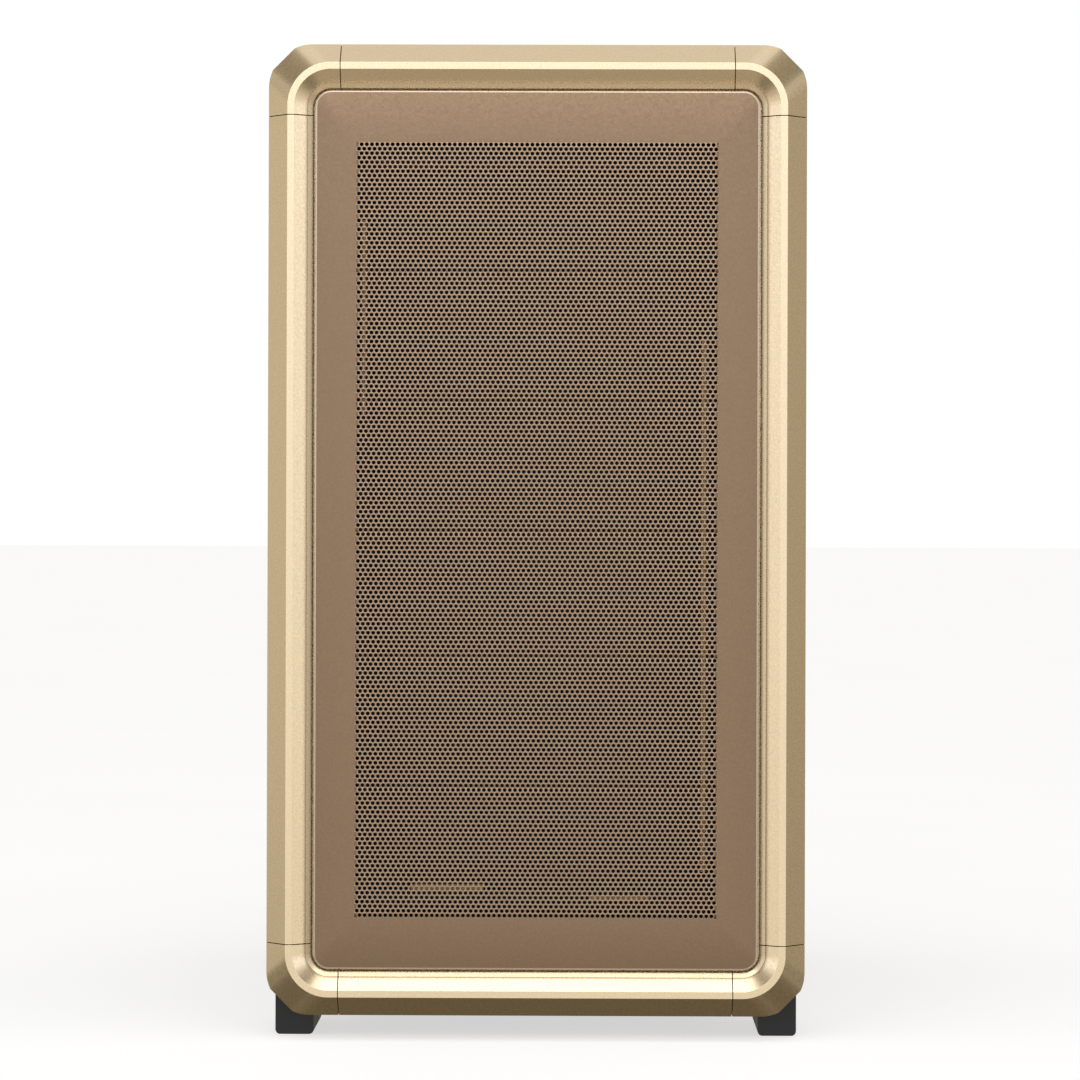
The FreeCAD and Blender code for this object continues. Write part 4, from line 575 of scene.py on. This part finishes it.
# ------------------------------------------------------------------ perforated sheet
def ring_fan(outer, inner):
    """Triangles between an outer and an inner closed loop, as ("o" or "i", place in that loop)."""
    whole = 2 * math.pi
    angle = [math.atan2(y, x) % whole for x, y in outer]
    inner_angle = [math.atan2(y, x) % whole for x, y in inner]
    order = sorted(range(len(outer)), key=lambda i: angle[i])
    inner_order = sorted(range(len(inner)), key=lambda i: inner_angle[i])
    triangles = []
    i = j = 0
    while i < len(order) or j < len(inner_order):
        here, there = order[i % len(order)], inner_order[j % len(inner_order)]
        after, inner_after = order[(i + 1) % len(order)], inner_order[(j + 1) % len(inner_order)]
        next_outer = angle[after] + (whole if i + 1 >= len(order) else 0)
        next_inner = inner_angle[inner_after] + (whole if j + 1 >= len(inner_order) else 0)
        if j >= len(inner_order) or (i < len(order) and next_outer <= next_inner):
            triangles.append((("o", here), ("o", after), ("i", there)))
            i += 1
        else:
            triangles.append((("o", here), ("i", inner_after), ("i", there)))
            j += 1
    return triangles


def hole_template(pitch, row, radius, sides, rounding, depth):
    """Points (u, v, d) and triangles of one sheet cell with a round hole through it."""
    u, v = pitch / 2, row / 2
    boundary = [(-u, -v), (0, -v), (u, -v), (u, v), (0, v), (-u, v)]
    turns = [(k + 0.5) * 2 * math.pi / sides for k in range(sides)]
    wide = [((radius + rounding) * math.cos(a), (radius + rounding) * math.sin(a)) for a in turns]
    tight = [(radius * math.cos(a), radius * math.sin(a)) for a in turns]
    points = [(u, v, 0.0) for u, v in boundary]
    points += [(u, v, 0.0) for u, v in wide]
    points += [(u, v, rounding) for u, v in tight]
    points += [(u, v, depth) for u, v in tight]
    points += [(u, v, depth) for u, v in boundary]
    start = {"wide": 6, "tight": 6 + sides, "back": 6 + 2 * sides, "rear": 6 + 3 * sides}
    triangles = []
    for triangle in ring_fan(boundary, wide):
        triangles.append(tuple(k if kind == "o" else start["wide"] + k for kind, k in triangle))
    for first, second in (("wide", "tight"), ("tight", "back")):
        for k in range(sides):
            n = (k + 1) % sides
            a, b, c, d = start[first] + k, start[first] + n, start[second] + n, start[second] + k
            triangles += [(a, b, c), (a, c, d)]
    for triangle in ring_fan(boundary, tight):
        seen_from_behind = tuple(start["rear" if kind == "o" else "back"] + k for kind, k in triangle)
        triangles.append(seen_from_behind[::-1])
    # The third value counts the faces round the front of the hole, which carry the painted highlight.
    return np.array(points), np.array(triangles), len(ring_fan(boundary, wide)) + 2 * sides


def filler_template(width, row, depth):
    """Plain cell half a pitch wide, for the ends of the rows."""
    corners = [(-width / 2, -row / 2), (width / 2, -row / 2), (width / 2, row / 2), (-width / 2, row / 2)]
    points = [(u, v, 0.0) for u, v in corners] + [(u, v, depth) for u, v in corners]
    return np.array(points), np.array([(0, 1, 2), (0, 2, 3), (4, 6, 5), (4, 7, 6)])


def closed_edges(points, triangles, depth):
    """Adds the walls between front and back along the outside of the sheet."""
    edges = np.concatenate([triangles[:, [0, 1]], triangles[:, [1, 2]], triangles[:, [2, 0]]])
    keys = np.sort(edges, axis=1)
    _, places, counts = np.unique(keys, axis=0, return_index=True, return_counts=True)
    single = edges[places[counts == 1]]
    front = single[(points[single[:, 0], 2] < depth / 2) & (points[single[:, 1], 2] < depth / 2)]
    places = [tuple(place) for place in np.round(points[:, :2] * SAME_POINT).astype(int)]
    back = {places[k]: k for k, point in enumerate(points) if point[2] > depth / 2}
    walls = []
    for a, b in front:
        c, d = back[places[b]], back[places[a]]
        walls += [(b, a, d), (b, d, c)]
    return np.concatenate([triangles, np.array(walls)])


def lattice_band(pitch, radius, columns, rows, all_rows, sides, rounding, depth):
    """Points and triangles of the rows (first, last) of a staggered field centred on the origin."""
    row = pitch * math.sqrt(3) / 2
    cell, cell_faces, rim = hole_template(pitch, row, radius, sides, rounding, depth)
    # The faces round the front of each hole get the painted highlight material.
    edge = np.zeros(len(cell_faces), dtype=np.int32)
    edge[:rim] = 1
    fill, fill_faces = filler_template(pitch / 2, row, depth)
    left = -columns * pitch / 2
    points, triangles, painted_highlight_faces, count = [], [], [], 0
    for number in range(*rows):
        v = (number - (all_rows - 1) / 2) * row
        inset = number % 2 == 0
        holes = columns - inset
        centres = -(holes - 1) * pitch / 2 + np.arange(holes) * pitch
        cells = cell[None] + np.stack([centres, np.full(holes, v), np.zeros(holes)], axis=1)[:, None]
        points.append(cells.reshape(-1, 3))
        starts = count + np.arange(holes) * len(cell)
        triangles.append((cell_faces[None] + starts[:, None, None]).reshape(-1, 3))
        painted_highlight_faces.append(np.tile(edge, holes))
        count += holes * len(cell)
        for end_u in (left + pitch / 4, -left - pitch / 4) if inset else ():
            points.append(fill + np.array([end_u, v, 0.0]))
            triangles.append(fill_faces + count)
            painted_highlight_faces.append(np.zeros(len(fill_faces), dtype=np.int32))
            count += len(fill)
    points, triangles = np.concatenate(points), np.concatenate(triangles)
    rounded = np.round(points * SAME_POINT).astype(np.int64)
    _, keep, where = np.unique(rounded, axis=0, return_index=True, return_inverse=True)
    points, triangles = points[keep], where.reshape(-1)[triangles]
    triangles = closed_edges(points, triangles, depth)
    painted_highlight_faces = np.concatenate(painted_highlight_faces)
    return points, triangles, np.concatenate([painted_highlight_faces, np.zeros(len(triangles) - len(painted_highlight_faces), dtype=np.int32)])


def field_half(pitch, columns, rows):
    """Half width and half height of a staggered field."""
    return columns * pitch / 2, rows * pitch * math.sqrt(3) / 4


def perforated(name, origin, axes, pitch, radius, columns, rows, bands, sides, rounding, depth, body):
    """Staggered field of round holes, in bands; axes are the directions of u, v and depth."""
    turn = np.array([list(axis) for axis in axes])
    stops = [round(rows * k / bands) for k in range(bands + 1)]
    for k in range(bands):
        band = stops[k:k + 2]
        points, triangles, painted_highlight_faces = lattice_band(pitch, radius, columns, band, rows, sides, rounding, depth)
        placed = points @ turn + np.array(origin)
        mesh = bpy.data.meshes.new(f"{name}_{k + 1}")
        mesh.vertices.add(len(placed))
        mesh.vertices.foreach_set("co", placed.ravel())
        mesh.loops.add(len(triangles) * 3)
        mesh.loops.foreach_set("vertex_index", triangles.ravel())
        mesh.polygons.add(len(triangles))
        mesh.polygons.foreach_set("loop_start", np.arange(len(triangles)) * 3)
        mesh.materials.append(MATERIALS["bronze_sheet"])
        mesh.materials.append(HOLE_HIGHLIGHT)
        mesh.polygons.foreach_set("material_index", painted_highlight_faces)
        mesh.update(calc_edges=True)
        mesh.validate()
        obj = bpy.data.objects.new(mesh.name, mesh)
        bpy.context.scene.collection.objects.link(obj)
        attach(obj, body)


# ------------------------------------------------------------------ panel rims
def rounded_outline(half_u, half_v, radius, steps=6):
    """Points round a rectangle with rounded corners, counter-clockwise, and the corner each belongs to."""
    points, corners = [], []
    for number, (su, sv) in enumerate(((1, 1), (-1, 1), (-1, -1), (1, -1))):
        for step in range(steps + 1):
            angle = number * math.pi / 2 + step / steps * math.pi / 2
            u = su * (half_u - radius) + radius * math.cos(angle)
            v = sv * (half_v - radius) + radius * math.sin(angle)
            points.append((u, v))
            corners.append((su, sv))
    return points, corners


def tray_rim(name, origin, axes, half, field, radius, rounding, rim, depth, body, slot, replaced):
    """Plain border round a perforated field, folded back at its outer edge."""
    loops = []
    arc = 4

    def ring(inset, d):
        points, _ = rounded_outline(half[0] - inset, half[1] - inset, max(radius - inset, 0.0004))
        return [(u, v, d) for u, v in points]

    corners = rounded_outline(half[0], half[1], radius)[1]
    loops.append([(su * field[0], sv * field[1], 0.0) for su, sv in corners])
    for step in range(arc + 1):
        angle = step / arc * math.pi / 2
        loops.append(ring(rounding * (1 - math.sin(angle)), rounding * (1 - math.cos(angle))))
    loops.append(ring(0.0, rim))
    loops.append(ring(depth, rim))
    inner = max(rounding - depth, 0.0)
    for step in range(arc, -1, -1):
        angle = step / arc * math.pi / 2
        loops.append(ring(depth + inner * (1 - math.sin(angle)), depth + inner * (1 - math.cos(angle))))
    loops.append([(su * field[0], sv * field[1], depth) for su, sv in corners])
    size = len(loops[0])
    turn = np.array([list(axis) for axis in axes])
    vertices = [tuple(np.array(point) @ turn + np.array(origin)) for loop in loops for point in loop]
    faces = []
    for index in range(len(loops)):
        for step in range(size):
            here, follow, n = index * size, (index + 1) % len(loops) * size, (step + 1) % size
            faces.append((here + step, here + n, follow + n, follow + step))
    obj = piece(name, vertices, faces, slot, body, replaced)
    # The rounded fold of the rim gets the painted highlight material.
    obj.data.materials.append(PANEL_EDGE_HIGHLIGHT)
    painted_highlight_faces = [1 if 1 <= k // size <= arc else 0 for k in range(len(faces))]
    obj.data.polygons.foreach_set("material_index", painted_highlight_faces)
    tidy_mesh(obj, 2e-6)
    mesh = bmesh.new()
    mesh.from_mesh(obj.data)
    bmesh.ops.dissolve_degenerate(mesh, dist=1e-6, edges=mesh.edges)
    mesh.to_mesh(obj.data)
    mesh.free()
    obj.data.shade_smooth()
    obj.data.set_sharp_from_angle(angle=math.radians(SHARP_ANGLE))


def turned(profile, start, axis, sides=20):
    """Vertices and faces of a shape turned round an axis: profile is (distance along, radius)."""
    axis = Vector(axis).normalized()
    side = axis.orthogonal().normalized()
    other = axis.cross(side)
    vertices, faces = [], []
    for along, radius in profile:
        for k in range(sides):
            angle = 2 * math.pi * k / sides
            outwards = side * math.cos(angle) + other * math.sin(angle)
            vertices.append(tuple(Vector(start) + axis * along + outwards * radius))
    for ring in range(len(profile) - 1):
        for k in range(sides):
            n, low, high = (k + 1) % sides, ring * sides, (ring + 1) * sides
            faces.append((low + k, low + n, high + n, high + k))
    faces.append(tuple(range(sides - 1, -1, -1)))
    faces.append(tuple((len(profile) - 1) * sides + k for k in range(sides)))
    return vertices, faces


def joined(parts):
    """One vertex and face list from several."""
    vertices, faces = [], []
    for part_vertices, part_faces in parts:
        start = len(vertices)
        vertices += part_vertices
        faces += [tuple(start + k for k in face) for face in part_faces]
    return vertices, faces


def push_studs(name, places, axis, length, radius, body):
    """Barbed push studs behind a panel."""
    collar, neck = radius * 1.5, radius * 0.8
    profile = [(0, collar), (1.2 * MM, collar), (1.4 * MM, neck), (length * 0.55, neck),
               (length * 0.7, radius), (length * 0.95, radius * 0.75), (length, radius * 0.4)]
    obj = piece(name, *joined([turned(profile, place, axis) for place in places]), "black_plastic", body)
    tidy_mesh(obj)
    obj.data.shade_smooth()
    obj.data.set_sharp_from_angle(angle=math.radians(SHARP_ANGLE))


def stud_places():
    """Places (x, z) of the six studs behind the front panel."""
    x = PANEL_HALF - STUD_MARGIN
    return [(side, MID_Z + z) for side in (-x, x) for z in (-STUD_SPACING, 0, STUD_SPACING)]


def front_cover():
    """Inset bronze panel: the perforated field, its folded rim and its studs."""
    origin = (0.0, PANEL_FACE_Y, MID_Z)
    axes = ((1, 0, 0), (0, 0, 1), (0, 1, 0))
    half = (PANEL_HALF, (CASE_HIGH - CASE_LOW) / 2 - BAND - PANEL_GAP)
    field = field_half(MESH_PITCH, MESH_COLUMNS, MESH_ROWS)
    tray_rim("front_panel_rim", origin, axes, half, field, PANEL_RADIUS, PANEL_ROUND, PANEL_RIM, PANEL_SHEET,
             "front_cover", "bronze_sheet", ("front_panel",))
    perforated("front_mesh", origin, axes, MESH_PITCH, MESH_HOLE, MESH_COLUMNS, MESH_ROWS, MESH_BANDS,
               HOLE_SIDES, HOLE_ROUND, PANEL_SHEET, "front_cover")
    places = [(x, PANEL_FACE_Y + PANEL_SHEET, z) for x, z in stud_places()]
    push_studs("front_panel_studs", places, (0, 1, 0), STUD_REACH, STUD_RADIUS, "front_cover")


def top_cover():
    """Perforated top panel in its folded rim."""
    origin = (0.0, sum(TOP_Y) / 2, TOP_Z)
    axes = ((1, 0, 0), (0, 1, 0), (0, 0, -1))
    half = (TOP_HALF, (TOP_Y[1] - TOP_Y[0]) / 2)
    field = field_half(TOP_PITCH, TOP_COLUMNS, TOP_ROWS)
    tray_rim("top_panel_rim", origin, axes, half, field, TOP_ROUND, TOP_ROUND, TOP_RIM, PANEL_SHEET,
             "top_cover", "bronze_sheet", ("top_panel",))
    perforated("top_mesh", origin, axes, TOP_PITCH, TOP_HOLE, TOP_COLUMNS, TOP_ROWS, TOP_BANDS,
               TOP_HOLE_SIDES, HOLE_ROUND, PANEL_SHEET, "top_cover")
    stud_y = (TOP_Y[0] + TOP_STUD_MARGIN, TOP_Y[1] - TOP_STUD_MARGIN)
    places = [(x, y, TOP_Z - PANEL_SHEET) for x in (-TOP_STUD_X, TOP_STUD_X) for y in stud_y]
    push_studs("top_panel_studs", places, (0, 0, -1), TOP_STUD_REACH, TOP_STUD_RADIUS, "top_cover")


# ------------------------------------------------------------------ behind the mesh
def boxes(name, blocks, slot, body, rounding=0.0):
    """Several blocks ((x, x), (y, y), (z, z)) in one piece."""
    parts = []
    for (x0, x1), (y0, y1), (z0, z1) in blocks:
        corners = [(x, y, z) for x in (x0, x1) for y in (y0, y1) for z in (z0, z1)]
        faces = [(0, 1, 3, 2), (4, 6, 7, 5), (0, 4, 5, 1), (2, 3, 7, 6), (0, 2, 6, 4), (1, 5, 7, 3)]
        parts.append((corners, faces))
    obj = piece(name, *joined(parts), slot, body)
    if rounding:
        round_edges(obj, rounding, 40.0)
    return obj


def pierced_sheet(name, loops, y, slot, body):
    """Flat upright sheet between two Y places: the first loop is its outline, the others are its openings."""
    bm = bmesh.new()
    edges = []
    for loop in loops:
        ring = [bm.verts.new((x, y[0], z)) for x, z in loop]
        edges += [bm.edges.new(pair) for pair in zip(ring, ring[1:] + ring[:1])]
    bmesh.ops.triangle_fill(bm, use_beauty=True, edges=edges)
    copied = bmesh.ops.extrude_face_region(bm, geom=bm.faces[:])["geom"]
    back = [part for part in copied if isinstance(part, bmesh.types.BMVert)]
    bmesh.ops.translate(bm, vec=(0, y[1] - y[0], 0), verts=back)
    bm.verts.index_update()
    vertices = [tuple(vertex.co) for vertex in bm.verts]
    faces = [tuple(vertex.index for vertex in face.verts) for face in bm.faces]
    bm.free()
    tidy_mesh(piece(name, vertices, faces, slot, body))


def front_shade_liner():
    """Black sheet on the gold front plate, round the window, with a hole for each stud: painted shade over
    the plate, which lies in shade inside the case.
    """
    corners = ((-1, -1), (1, -1), (1, 1), (-1, 1))
    loops = [[(u * x, MID_Z + v * z) for u, v in corners] for x, z in (LINER, WINDOW)]
    turns = [2 * math.pi * k / 24 for k in range(24)]
    for x, z in stud_places():
        loops.append([(x + STUD_HOLE * math.cos(turn), z + STUD_HOLE * math.sin(turn)) for turn in turns])
    pierced_sheet("front_shade_liner", loops, (PLATE_Y - 0.9 * MM, PLATE_Y - 0.1 * MM), "black_plastic", "chassis")


def window_strips():
    """Narrow gold strips along the window of the front plate, two on the liner and two inside the window, set
    where the plate's edges catch light: painted highlight against the painted shade of the liner.
    """
    on_liner = (PLATE_Y - 1.5 * MM, PLATE_Y - 1.0 * MM)
    inside = (PLATE_Y + 2.0 * MM, PLATE_Y + 3.4 * MM)
    blocks = [
        ((-82.3 * MM, -80.2 * MM), on_liner, (MID_Z + 54 * MM, MID_Z + 145 * MM)),
        ((76.9 * MM, 79.3 * MM), inside, (MID_Z - 160 * MM, MID_Z + 90 * MM)),
        ((-58.9 * MM, -24.6 * MM), inside, (67.7 * MM, 70.6 * MM)),
        ((25.0 * MM, 53.2 * MM), on_liner, (63.6 * MM, 65.8 * MM)),
    ]
    boxes("window_strips", blocks, "gold_paint", "chassis", 0.15 * MM)


def front_net():
    """Black dust net across the window of the front plate; it also paints shade, keeping the inside of the
    case dark behind the front mesh.
    """
    half_x, half_z = WINDOW[0] - 0.4 * MM, WINDOW[1] - 0.4 * MM
    y = (PLATE_Y + 3.6 * MM, PLATE_Y + 4.0 * MM)
    block = ((-half_x, half_x), y, (MID_Z - half_z, MID_Z + half_z))
    net = boxes("front_dust_net_and_shade", [block], "black_plastic", "chassis")
    net.data.materials.clear()
    net.data.materials.append(FRONT_NET)


# ------------------------------------------------------------------ stage, light and camera
CENTRE = Vector((0.0, 0.0, MID_Z))
CAMERA_PLACE = (0.020, -2.225, MID_Z)
CAMERA_LENS = 144.4
CAMERA_SHIFT = (-0.0007, -0.009)
CAMERA_ROLL = 0.17
FLOOR_REACH = 60.0
FLOOR_GLOW = 0.62
# Studio brightness by height of the direction (-1 down, 1 up), behind the object and in front of it
FRONT_LIGHT_EDGE = (0.12, -0.16)
REAR_LIGHT = ((-1.0, 0.12), (-0.3, 0.16), (0.0, 0.42), (0.35, 0.40), (0.6, 0.22), (0.8, 0.3), (1.0, 0.95))
FRONT_LIGHT = ((-1.0, 0.42), (-0.75, 0.46), (-0.15, 0.77), (0.0, 1.05), (0.15, 1.34), (0.5, 1.0),
               (0.71, 0.62), (0.88, 1.0), (1.0, 1.6))
# Dimmer stretches of the front studio by how far to the side the direction points
WALL_GAPS = ((0.0, 1.0), (0.42, 1.0), (0.56, 0.46), (0.8, 0.5), (0.9, 1.1), (1.0, 1.35))


def backdrop():
    """Wide pale floor that the object stands on."""
    mesh = bpy.data.meshes.new("floor")
    sides = 64
    turns = [2 * math.pi * k / sides for k in range(sides)]
    ring = [(FLOOR_REACH * math.cos(turn), FLOOR_REACH * math.sin(turn), 0.0) for turn in turns]
    mesh.from_pydata(ring, [], [tuple(range(sides))])
    floor = bpy.data.objects.new("floor", mesh)
    bpy.context.scene.collection.objects.link(floor)
    r = Recipe("pale_floor")
    base = r.mixed(r.remap(r.noise(3.0, 3.0), 0.3, 0.7), srgb(186, 186, 186), srgb(190, 190, 190))
    r.set(Emission_Color=(1, 1, 1, 1), Emission_Strength=FLOOR_GLOW)
    mesh.materials.append(r.finish(base, r.remap(r.noise(200.0), 0.3, 0.7, 0.85, 0.95)))
    floor.visible_glossy = False


def brightness(tree, height, stops):
    """Studio brightness by height of the direction, from straight down to straight up."""
    ramp = tree.nodes.new("ShaderNodeValToRGB")
    tree.links.new(height, ramp.inputs["Fac"])
    elements = ramp.color_ramp.elements
    while len(elements) < len(stops):
        elements.new(0.5)
    for element, (place, value) in zip(elements, stops):
        element.position = (place + 1) / 2
        element.color = (value, value * (0.84 + 0.16 * value), value * (0.55 + 0.45 * value), 1)
    return ramp.outputs["Color"]


def sky():
    """Studio walls: bright in front of the object and above it, dim behind and below."""
    world = bpy.data.worlds.new("studio")
    bpy.context.scene.world = world
    world.use_nodes = True
    tree = world.node_tree
    link = tree.links.new
    place = tree.nodes.new("ShaderNodeTexCoord")
    split = tree.nodes.new("ShaderNodeSeparateXYZ")
    link(place.outputs["Generated"], split.inputs[0])
    height = tree.nodes.new("ShaderNodeMapRange")
    height.inputs["From Min"].default_value = -1.0
    link(split.outputs["Z"], height.inputs["Value"])
    front = tree.nodes.new("ShaderNodeMapRange")
    front.interpolation_type = "SMOOTHSTEP"
    front.inputs["From Min"].default_value = FRONT_LIGHT_EDGE[0]
    front.inputs["From Max"].default_value = FRONT_LIGHT_EDGE[1]
    link(split.outputs["Y"], front.inputs["Value"])
    across = tree.nodes.new("ShaderNodeMath")
    across.operation = "ABSOLUTE"
    link(split.outputs["X"], across.inputs[0])
    gaps = tree.nodes.new("ShaderNodeValToRGB")
    link(across.outputs[0], gaps.inputs["Fac"])
    for place_x, value in WALL_GAPS:
        element = gaps.color_ramp.elements.new(place_x)
        element.color = (value, value, value, 1)
    gaps.color_ramp.elements.remove(gaps.color_ramp.elements[0])
    gaps.color_ramp.elements.remove(gaps.color_ramp.elements[-1])
    walls = tree.nodes.new("ShaderNodeMix")
    walls.data_type = "RGBA"
    walls.blend_type = "MULTIPLY"
    walls.inputs[0].default_value = 1.0
    link(brightness(tree, height.outputs["Result"], FRONT_LIGHT), walls.inputs[6])
    link(gaps.outputs["Color"], walls.inputs[7])
    mix = tree.nodes.new("ShaderNodeMix")
    mix.data_type = "RGBA"
    link(front.outputs["Result"], mix.inputs[0])
    link(brightness(tree, height.outputs["Result"], REAR_LIGHT), mix.inputs[6])
    link(walls.outputs[2], mix.inputs[7])
    light = tree.nodes["Background"]
    link(mix.outputs[2], light.inputs["Color"])
    white = tree.nodes.new("ShaderNodeBackground")
    white.inputs["Color"].default_value = (1, 1, 1, 1)
    seen = tree.nodes.new("ShaderNodeLightPath")
    both = tree.nodes.new("ShaderNodeMixShader")
    link(seen.outputs["Is Camera Ray"], both.inputs[0])
    link(light.outputs[0], both.inputs[1])
    link(white.outputs[0], both.inputs[2])
    link(both.outputs[0], tree.nodes["World Output"].inputs["Surface"])


def softbox(name, place, size, power):
    """Rectangular lamp that points at the middle of the object."""
    data = bpy.data.lights.new(name, "AREA")
    data.shape = "RECTANGLE"
    data.size, data.size_y = size
    data.energy = power
    lamp = bpy.data.objects.new(name, data)
    bpy.context.scene.collection.objects.link(lamp)
    lamp.location = place
    lamp.rotation_mode = "QUATERNION"
    lamp.rotation_quaternion = (CENTRE - Vector(place)).to_track_quat("-Z", "Y")
    lamp.visible_camera = False


def lights():
    """Two lamps above and two at the left: place and size in metres, power in watts."""
    softbox("over", (0.0, -1.3, 2.3), (2.2, 1.0), 6.0)
    softbox("front_high", (0.0, -2.1, 1.25), (1.8, 0.5), 5.0)
    softbox("left", (-2.2, 0.5, MID_Z), (0.8, 1.4), 0.9)
    softbox("front_left", (-1.7, -1.9, MID_Z), (0.5, 1.4), 1.0)


def camera():
    """Nearly frontal long lens at mid-height."""
    data = bpy.data.cameras.new("camera")
    data.sensor_width = 36.0
    data.lens = CAMERA_LENS
    data.clip_start, data.clip_end = 0.05, 200.0
    data.shift_x, data.shift_y = CAMERA_SHIFT
    cam = bpy.data.objects.new("camera", data)
    bpy.context.scene.collection.objects.link(cam)
    cam.location = CAMERA_PLACE
    cam.rotation_mode = "QUATERNION"
    look = (CENTRE - cam.location).to_track_quat("-Z", "Y")
    roll = Matrix.Rotation(math.radians(CAMERA_ROLL), 4, "Z").to_quaternion()
    cam.rotation_quaternion = look @ roll
    bpy.context.scene.camera = cam
    bpy.context.scene.view_settings.view_transform = "Standard"


camera()
sky()
lights()
backdrop()
dress_cad_nodes()
front_frame()
frame_lip()
front_cover()
front_shade_liner()
window_strips()
front_net()
top_cover()
